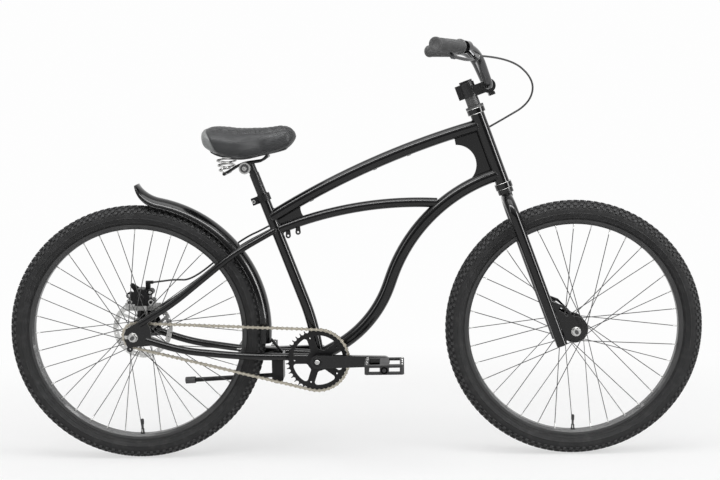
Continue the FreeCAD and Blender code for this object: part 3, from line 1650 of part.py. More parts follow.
# Kickstand on a block under the chain stay bridge
stand_at = point("stand_pivot")
half = size("stand_block_half")
side = size("stand_block_side")
block = box(
    V(stand_at.x - half, -side, z_of("stand_block_low")), V(stand_at.x + half, side, z_of("stand_block_high"))
)
flanks = [e for e in block.Edges if abs(e.tangentAt(e.FirstParameter).y) > 1 / 2]
block = block.makeFillet(size("stand_block_corner"), [e for e in flanks if e.CenterOfMass.z < stand_at.z])
block = cut_all(block, chain_stays)
stand_pin = rod(stand_at, stand_at + Y * size("stand_pin_end"), size("stand_pivot_radius"))
solid_node("kickstand_bracket", [biggest(block.fuse(stand_pin))])
hub_low = stand_at + Y * (side + end_play)
hub_high = hub_low + Y * size("stand_hub_width")
hub_mid = (hub_low + hub_high) / 2
foot = point("stand_foot")
leg_run = (foot - hub_mid).normalize()
leg = rod(hub_mid, foot, size("stand_leg_radius")).fuse(rod(hub_low, hub_high, size("stand_hub_radius")))
pin_run = size("stand_pivot_radius") + size("running_gap")
leg = leg.cut(rod(stand_at, stand_at + Y * 2 * size("stand_pin_end"), pin_run))
solid_node("kickstand_leg", [leg])
foot_end = foot + leg_run * size("stand_foot_length")
solid_node("kickstand_foot", [rod(foot, foot_end, size("stand_foot_radius"))])

# Seat post, clamp and saddle rails
neck = seat_top + seat_axis * size("post_neck_start")
post_top = seat_top + seat_axis * size("post_out")
clamp_at = point("clamp")
clamp_half = Y * size("clamp_half")
seat_clamp = rod(clamp_at - clamp_half, clamp_at + clamp_half, size("clamp_radius"))
cheek_out = Y * size("cheek_out")
cheek_in = Y * (size("cheek_out") - size("cheek_width"))
seat_clamp = seat_clamp.fuse(rod(clamp_at - cheek_out, clamp_at + cheek_out, size("clamp_bolt_radius")))
for side in (-1, 1):
    cheek = rod(clamp_at + cheek_in * side, clamp_at + cheek_out * side, size("clamp_radius"))
    seat_clamp = seat_clamp.fuse(cheek)
post = rod(seat_top - seat_axis * size("post_in"), neck, size("post_radius"))
post = post.fuse(rod(neck, post_top, size("post_neck_radius")))
solid_node("seat_post", [biggest(post.cut(seat_clamp))])
rails = []
names = ("rail_rear", "rail_knee", "rail_front", "rail_nose")
for side in (-1, 1):
    corners = [point(name) + Y * side * size("rail_side") for name in names]
    rail_path, rail_radii = rounded_path(corners, RAIL_BEND_SHARES)
    rails.append(tube(rail_path, size("rail_radius"), 10))
cross = Y * (size("rail_side") + size("nose_bar_radius"))
nose_bar = rod(point("rail_nose") - cross, point("rail_nose") + cross, size("nose_bar_radius"))
spring_foot = point("rail_rear")
spring_bar = Y * size("spring_bar_half")
rear_bar = rod(spring_foot - spring_bar, spring_foot + spring_bar, size("spring_bar_radius"))
rails = [biggest(cut_all(rail, [nose_bar, rear_bar])) for rail in rails]
solid_node("saddle_rails", rails + [nose_bar, rear_bar])
solid_node("seat_clamp", [seat_clamp])


# Conical saddle springs
def spring_wire(side):
    """Half turns of a rising, widening coil, each of two arcs that meet smoothly."""
    turns = size("spring_turns")
    centre = V(x_of("spring_x"), side * size("spring_side"), 0)
    rise = z_of("spring_high") - z_of("spring_low")
    widen = size("spring_high_radius") - size("spring_low_radius")

    def place(part):
        angle = math.tau * turns * part + math.pi / 2
        radius = size("spring_low_radius") + widen * part
        height = z_of("spring_low") + rise * part
        here = centre + V(radius * math.cos(angle), side * radius * math.sin(angle), height)
        spin = math.tau * turns
        way = V(
            widen * math.cos(angle) - radius * spin * math.sin(angle),
            side * (widen * math.sin(angle) + radius * spin * math.cos(angle)),
            rise,
        )
        return here, way.normalize()

    edges = []
    steps = int(turns * 4)
    for i in range(steps):
        start, leave = place(i / steps)
        end, arrive = place((i + 1) / steps)
        span = end - start
        both = leave + arrive
        a = 2 * (leave.dot(arrive) - 1)
        b = -2 * span.dot(both)
        c = span.dot(span)
        reach = (-b - math.sqrt(b * b - 4 * a * c)) / (2 * a)
        first = start + leave * reach
        second = end - arrive * reach
        joint = (first + second) / 2
        edges.append(arc_at(first, start, joint)[0])
        edges.append(arc_at(second, joint, end)[0])
    return Part.Wire(edges)


springs = []
for side in (-1, 1):
    wire = spring_wire(side)
    springs.append(tube(wire, size("spring_wire"), 4))
per_turn = len(wire.Edges) // int(size("spring_turns"))
gaps = [a.distToShape(b)[0] for a, b in zip(wire.Edges, wire.Edges[per_turn:])]
print("least spring gap between turns %.2f mm" % (min(gaps) - 2 * size("spring_wire")))
solid_node("saddle_springs", springs)

# Saddle: a lofted cushion with a crown and drawn-in sides, on a base plate
SADDLE_SHARES = [
    (0.0, 0.6, 0.6, 0.9),
    (0.07, 0.9, 0.34, 1.0),
    (0.22, 1.0, 0.1, 0.98),
    (0.42, 0.88, 0.0, 0.92),
    (0.66, 0.58, 0.13, 0.93),
    (0.88, 0.42, 0.29, 1.0),
    (0.97, 0.34, 0.44, 0.94),
    (1.0, 0.24, 0.56, 0.82),
]


def saddle_section(row):
    """One cross section of the cushion: flat below, bulging sides, a crowned top."""
    along, wide, low, high = row
    x = x_of("saddle_rear_x") + along * size("saddle_length")
    half = wide * size("saddle_half_width")
    bottom = z_of("saddle_low") + low * size("saddle_height")
    top = z_of("saddle_low") + high * size("saddle_height")
    waist = bottom + (top - bottom) * size("saddle_waist_share")
    brow = bottom + (top - bottom) * size("saddle_brow_share")
    foot_half = half * size("saddle_foot_share")
    brow_half = half * size("saddle_brow_width_share")
    left_foot = V(x, foot_half, bottom)
    left_brow = V(x, brow_half, brow)
    right_foot = V(x, -foot_half, bottom)
    right_brow = V(x, -brow_half, brow)
    arcs = [
        (left_foot, V(x, half, waist), left_brow),
        (left_brow, V(x, 0, top), right_brow),
        (right_brow, V(x, -half, waist), right_foot),
    ]
    corners = [right_foot, left_foot]
    for arc in arcs:
        corners += Part.Arc(*arc).toShape().discretize(int(size("saddle_facet_count")) + 1)[1:]
    return Part.makePolygon(corners[:-1] + corners[:1])


def plan(rows, inset):
    """The saddle's outline from above, drawn in by a share."""
    left = []
    for along, wide, _, _ in rows:
        x = x_of("saddle_rear_x") + along * size("saddle_length")
        left.append(V(x, wide * inset * size("saddle_half_width"), 0))
    right = [V(p.x, -p.y, 0) for p in reversed(left)]
    return Part.Face(Part.makePolygon(left + right + left[:1]))


cushion = Part.makeLoft([saddle_section(row) for row in SADDLE_SHARES], True, True)
hollow = plan(SADDLE_SHARES[1:6], size("saddle_base_share"))
base_low = V(0, 0, z_of("base_low"))
base_high = V(0, 0, z_of("base_high"))
room_low = V(0, 0, z_of("saddle_low") - size("cut_overrun"))
room = hollow.extrude(base_high - room_low)
room.translate(room_low)
solid_node("saddle_cover", [biggest(cushion.cut(room))])
base = hollow.extrude(base_high - base_low)
base.translate(base_low)
lug_half = Y * size("base_lug_half")
nose = point("rail_nose")
base = base.fuse(rod(nose - lug_half, nose + lug_half, size("base_lug_radius")))
nose_run = size("nose_bar_radius") + size("running_gap")
base = base.cut(rod(nose - lug_half * 2, nose + lug_half * 2, nose_run))
solid_node("saddle_base", [biggest(base)])

# Check every piece, then write one file for each node
DOC.recompute()
os.makedirs("parts", exist_ok=True)
for item in NODES:
    if "Invalid" in item.State or "Error" in item.State:
        raise RuntimeError("%s did not build: %s" % (item.Label, item.State))
    if item.Shape.isNull() or not item.Shape.isValid() or not item.Shape.Solids:
        raise RuntimeError("%s has no sound solid" % item.Label)
    item.Shape.exportStep("parts/%s.step" % item.Label)
print("%d nodes written" % len(NODES))
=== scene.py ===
"""Looks of a beach cruiser bicycle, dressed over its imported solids.

Lengths are metres in the solids' own frame: x forward, y to the rider's left, z up.
"""

from __future__ import annotations

import json
import logging
import math

from dataclasses import dataclass, field
from enum import Enum
from typing import Any, Iterable, Sequence

import bmesh
import bpy
import numpy as np
from mathutils import Matrix, Vector
from mathutils.bvhtree import BVHTree

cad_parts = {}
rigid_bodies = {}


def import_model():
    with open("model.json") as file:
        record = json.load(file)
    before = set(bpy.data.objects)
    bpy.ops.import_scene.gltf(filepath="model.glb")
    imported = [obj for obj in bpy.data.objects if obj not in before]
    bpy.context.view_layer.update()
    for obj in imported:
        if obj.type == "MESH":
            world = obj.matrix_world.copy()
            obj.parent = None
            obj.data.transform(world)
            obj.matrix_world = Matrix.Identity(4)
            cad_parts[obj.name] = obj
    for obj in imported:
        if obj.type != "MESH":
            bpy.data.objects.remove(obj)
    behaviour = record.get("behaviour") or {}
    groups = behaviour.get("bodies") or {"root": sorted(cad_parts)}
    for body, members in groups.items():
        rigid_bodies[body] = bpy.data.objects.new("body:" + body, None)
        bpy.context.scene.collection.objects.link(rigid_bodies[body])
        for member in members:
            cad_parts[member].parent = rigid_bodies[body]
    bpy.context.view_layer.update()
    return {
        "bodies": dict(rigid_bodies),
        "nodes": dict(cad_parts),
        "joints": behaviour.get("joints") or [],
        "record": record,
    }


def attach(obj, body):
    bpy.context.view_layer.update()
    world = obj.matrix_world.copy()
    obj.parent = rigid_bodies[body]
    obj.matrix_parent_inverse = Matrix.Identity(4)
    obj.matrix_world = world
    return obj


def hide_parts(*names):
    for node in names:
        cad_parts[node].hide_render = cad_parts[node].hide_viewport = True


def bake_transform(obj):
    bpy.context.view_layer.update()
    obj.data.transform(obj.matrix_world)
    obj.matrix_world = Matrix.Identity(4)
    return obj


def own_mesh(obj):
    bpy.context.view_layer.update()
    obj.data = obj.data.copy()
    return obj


LOG = logging.getLogger("cruiser")
TAU = math.tau
Array = np.ndarray
Colour = tuple[float, float, float]
Point = tuple[float, float, float]
Span = tuple[float, float]
Spot = tuple[Point, Point]
Profile = Sequence[Span]
Shape = tuple[Array, Array]
ORIGIN = np.zeros(3)
X_WAY, Y_WAY, Z_WAY = np.eye(3)
LEFT, RIGHT = (0.0, 1.0, 0.0), (0.0, -1.0, 0.0)
MERGE = 1e-6


# Surfaces worked out as whole arrays


def unit(ways: Array) -> Array:
    """Vectors divided by their own lengths."""
    return ways / np.linalg.norm(ways, axis=-1, keepdims=True)


def side_ways(turn: Array) -> Array:
    """Unit vectors in the side view, at angles from x towards z."""
    return np.stack([np.cos(turn), np.zeros_like(turn), np.sin(turn)], -1)


def ramp(at: Array, start: Array | float, reach: Array | float) -> Array:
    """Nought up to a start, then rising evenly to one over a reach."""
    return np.clip((at - start) / reach, 0, 1)


def run_length(path: Array) -> float:
    """The length of a line of points."""
    return float(np.linalg.norm(np.diff(path, axis=0), axis=1).sum())


def grid_quads(rows: int, cols: int, ring_rows: bool = False) -> Array:
    """Quads of a grid of points, each cell joining a point to its next row and column.

    Args:
        rows: Points along the first way.
        cols: Points along the second way, which closes on itself.
        ring_rows: Whether the first way closes on itself too.

    Returns:
        An array of four point numbers to a face.
    """
    i, j = np.meshgrid(np.arange(rows if ring_rows else rows - 1), np.arange(cols), indexing="ij")
    below, beside = (i + 1) % rows, (j + 1) % cols
    quads = [i * cols + j, i * cols + beside, below * cols + beside, below * cols + j]
    return np.stack(quads, -1).reshape(-1, 4)


def across(axis: Array) -> tuple[Array, Array]:
    """Two unit vectors square to an axis and to each other, in turning order.

    Args:
        axis: A unit vector.

    Returns:
        The two vectors.
    """
    hint = Z_WAY if abs(axis[2]) < 0.9 else X_WAY
    side = unit(np.cross(axis, hint))
    return side, np.cross(axis, side)


def lathe(profile: Profile, centre: Array = ORIGIN, axis: Array = Z_WAY, around: int = 48) -> Shape:
    """A profile turned round an axis: centre + axis * station + radius * (cos, sin) of the side vectors.

    Args:
        profile: Pairs of station along the axis and radius, from low to high on the outside.
        centre: Where the station is nought.
        axis: The way of the axis.
        around: Points to a turn.

    Returns:
        Points and quads.
    """
    axis = unit(np.asarray(axis, float))
    side, other = across(axis)
    turn = np.arange(around) * TAU / around
    ring = np.cos(turn)[:, None] * side + np.sin(turn)[:, None] * other
    pairs = np.asarray(profile, float)
    points = np.asarray(centre) + pairs[:, None, :1] * axis + pairs[:, None, 1:] * ring
    return points.reshape(-1, 3), grid_quads(len(pairs), around)


def sweep(path: Array, radius: Array | float, around: int, up: Array) -> Shape:
    """A round section carried along a path: point + radius * (cos n + sin b), n nearest to up, ends closed.

    Args:
        path: Points of the middle line.
        radius: One radius, or one for each point.
        around: Points to a section.
        up: A way that the path never takes.

    Returns:
        Points and quads.
    """
    run = unit(np.gradient(path, axis=0))
    first = unit(up - (run @ up)[:, None] * run)
    second = np.cross(run, first)
    turn = np.arange(around) * TAU / around
    wide = np.broadcast_to(np.asarray(radius, float), len(path))[:, None, None]
    rings = np.cos(turn)[:, None] * first[:, None] + np.sin(turn)[:, None] * second[:, None]
    first_end, last_end = (np.repeat(path[i][None, None], around, 1) for i in (0, -1))
    points = np.concatenate([first_end, path[:, None] + wide * rings, last_end])
    return points.reshape(-1, 3), grid_quads(len(points), around)


def stamp(shape: Shape, places: Array, turns: Array) -> Shape:
    """Copies of a small shape: place + turn applied to each of its points.

    Args:
        shape: Points and faces of the small shape about the origin.
        places: One place for each copy.
        turns: One turning matrix for each copy.

    Returns:
        Points and faces of all the copies.
    """
    points, faces = shape
    copies = np.einsum("nij,mj->nmi", turns, points) + places[:, None]
    shift = np.arange(len(places)) * len(points)
    return copies.reshape(-1, 3), (faces[None] + shift[:, None, None]).reshape(-1, faces.shape[1])


def turned_to(ways: Array, hint: Array) -> Array:
    """Matrices that take the z way to each of the given ways, with x square to the hint.

    Args:
        ways: One way for each matrix.
        hint: A way that none of them takes, as far as that can be.

    Returns:
        One turning matrix for each way.
    """
    high = unit(ways)
    flat = np.cross(np.broadcast_to(hint, high.shape), high)
    flat = unit(np.where(np.linalg.norm(flat, axis=-1, keepdims=True) < 1e-6, X_WAY, flat))
    return np.stack([flat, np.cross(high, flat), high], -1)


def joined(shapes: Sequence[Shape]) -> Shape:
    """Several shapes as one, their faces numbered on.

    Args:
        shapes: Points and faces of each shape.

    Returns:
        Points and faces of them all.
    """
    counts = np.cumsum([0] + [len(points) for points, _ in shapes])
    faces = [quads + start for (_, quads), start in zip(shapes, counts)]
    return np.concatenate([points for points, _ in shapes]), np.concatenate(faces)


def eased(at: Array, stops: Array, values: Array) -> Array:
    """A smooth curve through stops: cubic pieces whose slopes never overshoot their neighbours.

    Args:
        at: Where the curve is read.
        stops: Rising places of the known values.
        values: The known values.

    Returns:
        The curve's values at the asked places.
    """
    gaps, rises = np.diff(stops), np.diff(values) / np.diff(stops)
    before, after = rises[:-1], rises[1:]
    inner = np.where(before * after > 0, 2 * before * after / (before + after + 1e-12), 0)
    slopes = np.concatenate([rises[:1], inner, rises[-1:]])
    k = np.clip(np.searchsorted(stops, at) - 1, 0, len(gaps) - 1)
    t = ramp(at, stops[k], gaps[k])
    low = values[k] * (1 + 2 * t) + slopes[k] * gaps[k] * t
    high = values[k + 1] * (3 - 2 * t) + slopes[k + 1] * gaps[k] * (t - 1)
    return low * (1 - t) ** 2 + high * t * t


# Meshes and objects


def linked(name: str, data: Any) -> bpy.types.Object:
    """A new object at the origin that shows in the scene.

    Args:
        name: The object's name.
        data: What it holds: a mesh, a curve, a camera or a lamp.

    Returns:
        The object.
    """
    made = bpy.data.objects.new(name, data)
    bpy.context.scene.collection.objects.link(made)
    return made


def rows_of(items: Any, name: str = "co") -> Array:
    """One vector of each of a mesh's items, as rows of three.

    Args:
        items: The mesh's points or normals.
        name: What is read of each item.

    Returns:
        One row for each item.
    """
    flat = np.empty(len(items) * 3, np.float32)
    items.foreach_get(name, flat)
    return flat.reshape(-1, 3).astype(float)


def move_to(mesh: bpy.types.Mesh, places: Array) -> None:
    """Puts every point of a mesh at a new place."""
    mesh.vertices.foreach_set("co", places.astype(np.float32).ravel())


def shade_smooth(mesh: bpy.types.Mesh) -> None:
    """Shades every face of a mesh smooth."""
    mesh.polygons.foreach_set("use_smooth", np.ones(len(mesh.polygons), bool))


def mark(piece: bpy.types.Object, name: str, values: Array) -> None:
    """Keeps one number for each point of a piece as a named attribute."""
    kept = piece.data.attributes.new(name, "FLOAT", "POINT")
    kept.data.foreach_set("value", values.astype(np.float32))


def add_piece(name: str, shape: Shape, flat_over: float = 35.0) -> bpy.types.Object:
    """A mesh object at the origin, its doubles merged, smooth but for edges sharper than an angle.

    Args:
        name: The piece's name.
        shape: Points and faces.
        flat_over: Angle in degrees past which an edge stays sharp.

    Returns:
        The new object.
    """
    mesh = bpy.data.meshes.new(name)
    mesh.from_pydata(shape[0].tolist(), [], shape[1].tolist())
    work = bmesh.new()
    work.from_mesh(mesh)
    bmesh.ops.remove_doubles(work, verts=work.verts, dist=MERGE)
    bmesh.ops.dissolve_degenerate(work, edges=work.edges, dist=MERGE / 10)
    bmesh.ops.recalc_face_normals(work, faces=work.faces)
    work.to_mesh(mesh)
    work.free()
    mesh.set_sharp_from_angle(angle=math.radians(flat_over))
    shade_smooth(mesh)
    return linked(name, mesh)


def curve_mesh(lines: Sequence[Array], closed: bool, settings: dict[str, Any]) -> bpy.types.Mesh:
    """The mesh that a curve object makes of its lines.

    Args:
        lines: Points of each line, as rows of three.
        closed: Whether the lines are closed and straight between points, or else open and smooth.
        settings: The curve's own settings.

    Returns:
        The mesh.
    """
    curve = bpy.data.curves.new("lines", "CURVE")
    for name, value in settings.items():
        setattr(curve, name, value)
    for row in lines:
        line = curve.splines.new("POLY" if closed else "NURBS")
        line.points.add(len(row) - 1)
        line.points.foreach_set("co", np.insert(row, 3, 1.0, axis=1).ravel())
        line.use_cyclic_u = closed
        if not closed:
            line.order_u = 3
            line.use_endpoint_u = True
    holder = linked("lines", curve)
    mesh = bpy.data.meshes.new_from_object(holder)
    bpy.data.objects.remove(holder)
    bpy.data.curves.remove(curve)
    return mesh


# Shader maths and finishes


class Wire:
    """A shader socket that takes Python arithmetic, each step one Math node."""

    def __init__(self, bench: "Bench", socket: bpy.types.NodeSocket) -> None:
        """Keeps the bench that makes nodes and the socket that is wrapped."""
        self.bench = bench
        self.socket = socket

    def maths(self, step: str, first: Any, second: Any) -> "Wire":
        """One Math node on two values."""
        return self.bench.wire("ShaderNodeMath", {"operation": step}, {0: first, 1: second})

    def __add__(self, other: Any) -> "Wire":
        """Sum of this and another value."""
        return self.maths("ADD", self, other)

    __radd__ = __add__

    def __sub__(self, other: Any) -> "Wire":
        """This less another value."""
        return self.maths("SUBTRACT", self, other)

    def __rsub__(self, other: Any) -> "Wire":
        """Another value less this."""
        return self.maths("SUBTRACT", other, self)

    def __mul__(self, other: Any) -> "Wire":
        """Product of this and another value."""
        return self.maths("MULTIPLY", self, other)

    __rmul__ = __mul__

    def between(self, low: float, high: float) -> "Wire":
        """Nought below low, one above high, and smooth between."""
        stops = {"Value": self, "From Min": low, "From Max": high}
        return self.bench.wire("ShaderNodeMapRange", {"interpolation_type": "SMOOTHSTEP"}, stops)


class Bench:
    """A node tree being made, and the one method that adds its nodes."""

    def __init__(self, tree: bpy.types.NodeTree) -> None:
        """Clears a tree for new nodes."""
        self.tree = tree
        self.tree.nodes.clear()

    def node(
        self, kind: str, settings: dict[str, Any] | None = None, sockets: dict[Any, Any] | None = None
    ) -> bpy.types.Node:
        """Adds a node, sets it up, then gives its sockets values or links.

        Args:
            kind: The node's type.
            settings: Its own settings.
            sockets: Values or wires by socket name or number.

        Returns:
            The node.
        """
        made = self.tree.nodes.new(kind)
        for name, value in (settings or {}).items():
            setattr(made, name, value)
        for name, value in (sockets or {}).items():
            self.give(made.inputs[name], value)
        return made

    def give(self, socket: bpy.types.NodeSocket, value: Any) -> None:
        """Links a wire to a socket, or sets the socket to a plain value.

        Args:
            socket: The socket that is fed.
            value: A wire, or a plain value.
        """
        if isinstance(value, Wire):
            self.tree.links.new(value.socket, socket)
        else:
            socket.default_value = value

    def wire(self, kind: str, settings: dict[str, Any], sockets: dict[Any, Any], out: Any = 0) -> Wire:
        """Adds a node and wraps one of its outputs."""
        return Wire(self, self.node(kind, settings, sockets).outputs[out])

    def mixed(self, share: Any, first: Any, second: Any) -> Wire:
        """A colour between two others."""
        sockets = {0: share, 6: shade(first), 7: shade(second)}
        return self.wire("ShaderNodeMix", {"data_type": "RGBA"}, sockets, 2)

    def shown(self, kinds: Sequence[str]) -> Wire:
        """One for rays of the named kinds, such as those from the camera.

        Args:
            kinds: The kinds of ray.

        Returns:
            A wire that is one for those rays and nought for others.
        """
        rays = self.node("ShaderNodeLightPath")
        wires = [Wire(self, rays.outputs["Is %s Ray" % kind]) for kind in kinds]
        seen = wires[0]
        for wire in wires[1:]:
            seen = seen.maths("MAXIMUM", seen, wire)
        return seen


class Paint(Bench):
    """A material being made round one principled shader."""

    def __init__(self, name: str) -> None:
        """Starts a material and its shader.

        Args:
            name: The material's name.
        """
        self.material = bpy.data.materials.new(name)
        self.material.use_nodes = True
        super().__init__(self.material.node_tree)
        self.shader = self.node("ShaderNodeBsdfPrincipled")
        lit = Wire(self, self.shader.outputs[0])
        self.surface = self.node("ShaderNodeOutputMaterial", {}, {"Surface": lit})

    def place(self, stretch: Point = (1.0, 1.0, 1.0)) -> Wire:
        """Object coordinates, stretched where a grain runs one way."""
        spot = self.wire("ShaderNodeTexCoord", {}, {}, "Object")
        return self.wire("ShaderNodeMapping", {}, {"Vector": spot, "Scale": stretch})

    def noise(self, scale: float, detail: float, stretch: Point = (1.0, 1.0, 1.0)) -> Wire:
        """Soft noise from nought to one, scale in waves to a metre."""
        sockets = {"Vector": self.place(stretch), "Scale": scale, "Detail": detail}
        return self.wire("ShaderNodeTexNoise", {}, sockets, "Fac")

    def cells(self, scale: float) -> Wire:
        """Distance from the middle of each pebble of a scattered pattern."""
        return self.wire("ShaderNodeTexVoronoi", {}, {"Vector": self.place(), "Scale": scale}, "Distance")

    def kept(self, name: str) -> Wire:
        """A number kept on the mesh's points."""
        return self.wire("ShaderNodeAttribute", {"attribute_name": name}, {}, "Fac")

    def bump(self, height: Wire, depth: float) -> None:
        """Feeds the shader's normal from a height in metres of depth."""
        sockets = {"Height": height, "Distance": depth, "Strength": 1.0}
        self.feed("Normal", self.wire("ShaderNodeBump", {}, sockets))

    def feed(self, name: str, value: Any) -> None:
        """Sets or links one socket of the principled shader."""
        self.give(self.shader.inputs[name], value)


def shade(value: Any) -> Any:
    """A colour of three numbers with its alpha added; a wire as it is."""
    return value if isinstance(value, Wire) else (*value, 1.0)


class Grain(Enum):
    """How the fine relief of a finish is laid out: the noise's detail and stretch, or none for pebbles."""

    PEEL = (1.0, (1.0, 1.0, 1.0))
    SPECK = (4.0, (1.0, 1.0, 1.0))
    BRUSHED = (4.0, (0.04, 1.0, 0.04))
    PEBBLE = None


@dataclass(frozen=True)
class Finish:
    """A surface: its material slot, colours, gloss, and the grain that breaks them up."""

    name: str
    slot: str
    colour: Colour
    worn: Colour
    roughness: float
    metallic: float = 0.0
    coat: float = 0.0
    coat_roughness: float = 0.04
    grain: Grain = Grain.SPECK
    grain_scale: float = 900.0
    grain_depth: float = 0.00003
    grit_span: Span = (0.45, 0.7)
    grit_share: float = 0.25
    patch_scale: float = 14.0
    patch_span: Span = (0.35, 0.75)
    patch_share: float = 0.5
    handled_scale: float = 2.7
    rough_swing: float = 0.12
    specular: float = 0.5

    def relief(self, bench: Paint) -> Wire:
        """The height of the grain at each place.

        Args:
            bench: The material being made.

        Returns:
            A wire from nought to about one.
        """
        if self.grain is Grain.PEBBLE:
            return bench.cells(self.grain_scale)
        return bench.noise(self.grain_scale, *self.grain.value)

    def base(self, bench: Paint) -> Wire:
        """The colour: two tones in soft patches, with a trace of the grain.

        Args:
            bench: The material being made.

        Returns:
            The colour.
        """
        patches = bench.noise(self.patch_scale, 5.0).between(*self.patch_span) * self.patch_share
        grit = bench.noise(self.grain_scale * 0.5, 2.0).between(*self.grit_span) * self.grit_share
        return bench.mixed(patches + grit, self.colour, self.worn)

    def make(self) -> bpy.types.Material:
        """Builds the material once and gives it again after that.

        Returns:
            The material of this finish.
        """
        title = self.name + "_finish"
        found = bpy.data.materials.get(title)
        if found:
            return found
        bench = Paint(title)
        bench.feed("Base Color", self.base(bench))
        handled = bench.noise(self.patch_scale * self.handled_scale, 6.0)
        smoothest = self.roughness - self.rough_swing
        bench.feed("Roughness", handled * (2 * self.rough_swing) + smoothest)
        bench.feed("Metallic", self.metallic)
        bench.feed("Coat Weight", self.coat)
        bench.feed("Coat Roughness", self.coat_roughness)
        bench.feed("Specular IOR Level", self.specular)
        bench.bump(self.relief(bench), self.grain_depth)
        return bench.material


@dataclass(frozen=True)
class TyreFinish(Finish):
    """Rubber with a painted highlight on the knobs and the raised wall line, the grooves between left dark as
    painted shade, and dusty in patches.
    """

    knob_highlight_share: float = 0.55
    dust_scale: float = 55.0
    dust_span: Span = (0.45, 0.8)
    dust_share: float = 0.35

    def base(self, bench: Paint) -> Wire:
        """The rubber's colour: lighter where the kept relief is high, as a painted highlight on the knobs,
        and in dusty patches.
        """
        dust = bench.noise(self.dust_scale, 6.0).between(*self.dust_span) * self.dust_share
        # The worn tone serves both the dusty patches and the painted highlight on the knobs.
        return bench.mixed(bench.kept("relief") * self.knob_highlight_share + dust, self.colour, self.worn)


@dataclass(frozen=True)
class VinylFinish(Finish):
    """Upholstery vinyl in two tones, with painted shade along the pressed seams."""

    panel: Colour = (0.22, 0.225, 0.225)
    panel_span: Span = (0.46, 0.54)
    # Colour of the painted shade in the pressed seams.
    seam_shade: Colour = (0.012, 0.012, 0.013)
    seam_shade_share: float = 0.55
    rubbed_scale: float = 30.0
    rubbed_span: Span = (0.4, 0.75)
    rubbed_share: float = 0.5

    def base(self, bench: Paint) -> Wire:
        """Dark vinyl, the pale panel where it is kept on the mesh, with painted shade along the pressed
        seams.

        Args:
            bench: The material being made.

        Returns:
            The colour.
        """
        rubbed = bench.noise(self.rubbed_scale, 5.0).between(*self.rubbed_span) * self.rubbed_share
        main = bench.mixed(rubbed, self.colour, self.worn)
        both = bench.mixed(bench.kept("panel").between(*self.panel_span), main, self.panel)
        # Darkens the pressed seams with painted shade.
        return bench.mixed(bench.kept("seam_shade") * self.seam_shade_share, both, self.seam_shade)


GLOSS_BLACK = Finish(
    "gloss_black_paint", "gloss_black", (0.003, 0.003, 0.0034), (0.006, 0.006, 0.0066), 0.19, coat=0.34,
    grain=Grain.PEEL, grain_scale=260.0, grain_depth=0.000004, rough_swing=0.04, specular=0.22,
)
SATIN_BLACK = Finish(
    "satin_black_paint", "satin_black", (0.007, 0.007, 0.0074), (0.013, 0.013, 0.0135), 0.38,
    grain_scale=1500.0, grain_depth=0.00002, specular=0.25,
)
BLACK_ALLOY = Finish(
    "black_alloy", "black_alloy", (0.011, 0.011, 0.0115), (0.02, 0.02, 0.0205), 0.36, coat=0.1,
    grain_scale=1300.0, specular=0.3,
)
RIM_BLACK = Finish(
    "rim_black", "rim_black", (0.022, 0.022, 0.023), (0.05, 0.05, 0.05), 0.33, coat=0.2,
    grain_scale=1400.0,
)
BLACK_PLASTIC = Finish(
    "black_plastic", "black_plastic", (0.018, 0.018, 0.019), (0.035, 0.035, 0.036), 0.5,
    grain=Grain.PEBBLE, grain_scale=1100.0, grain_depth=0.00004,
)
GRIP_RUBBER = Finish(
    "grip_rubber", "grip_rubber", (0.085, 0.085, 0.086), (0.14, 0.14, 0.14), 0.68,
    grain=Grain.PEBBLE, grain_scale=800.0, grain_depth=0.00009, specular=0.35,
)
SPACER_GREY = Finish(
    "spacer_grey", "spacer_grey", (0.06, 0.06, 0.06), (0.1, 0.1, 0.1), 0.5, metallic=0.3,
    grain_scale=1600.0, grain_depth=0.00001,
)
BRIGHT_STEEL = Finish(
    "bright_steel", "bright_steel", (0.62, 0.62, 0.61), (0.45, 0.45, 0.44), 0.3, metallic=1.0,
    grain=Grain.BRUSHED, grain_scale=2200.0, grain_depth=0.00002,
)
CAST_ALLOY = Finish(
    "cast_alloy", "bright_steel", (0.5, 0.5, 0.49), (0.4, 0.4, 0.39), 0.42, metallic=0.9,
    grain_depth=0.00005,
)
SPOKE_STEEL = Finish(
    "spoke_steel", "spoke_steel", (0.09, 0.09, 0.09), (0.15, 0.15, 0.15), 0.34, metallic=0.9,
    grain_scale=1800.0,
)
CHAIN_STEEL = Finish(
    "chain_steel", "chain_steel", (0.5, 0.47, 0.4), (0.3, 0.27, 0.22), 0.36, metallic=1.0,
    grain_scale=1500.0, patch_scale=160.0,
)
DARK_CHROME = Finish(
    "dark_chrome", "dark_chrome", (0.06, 0.06, 0.062), (0.1, 0.1, 0.102), 0.13, metallic=1.0, coat=0.3,
    grain=Grain.PEEL, grain_scale=260.0, grain_depth=0.000003, rough_swing=0.04,
)
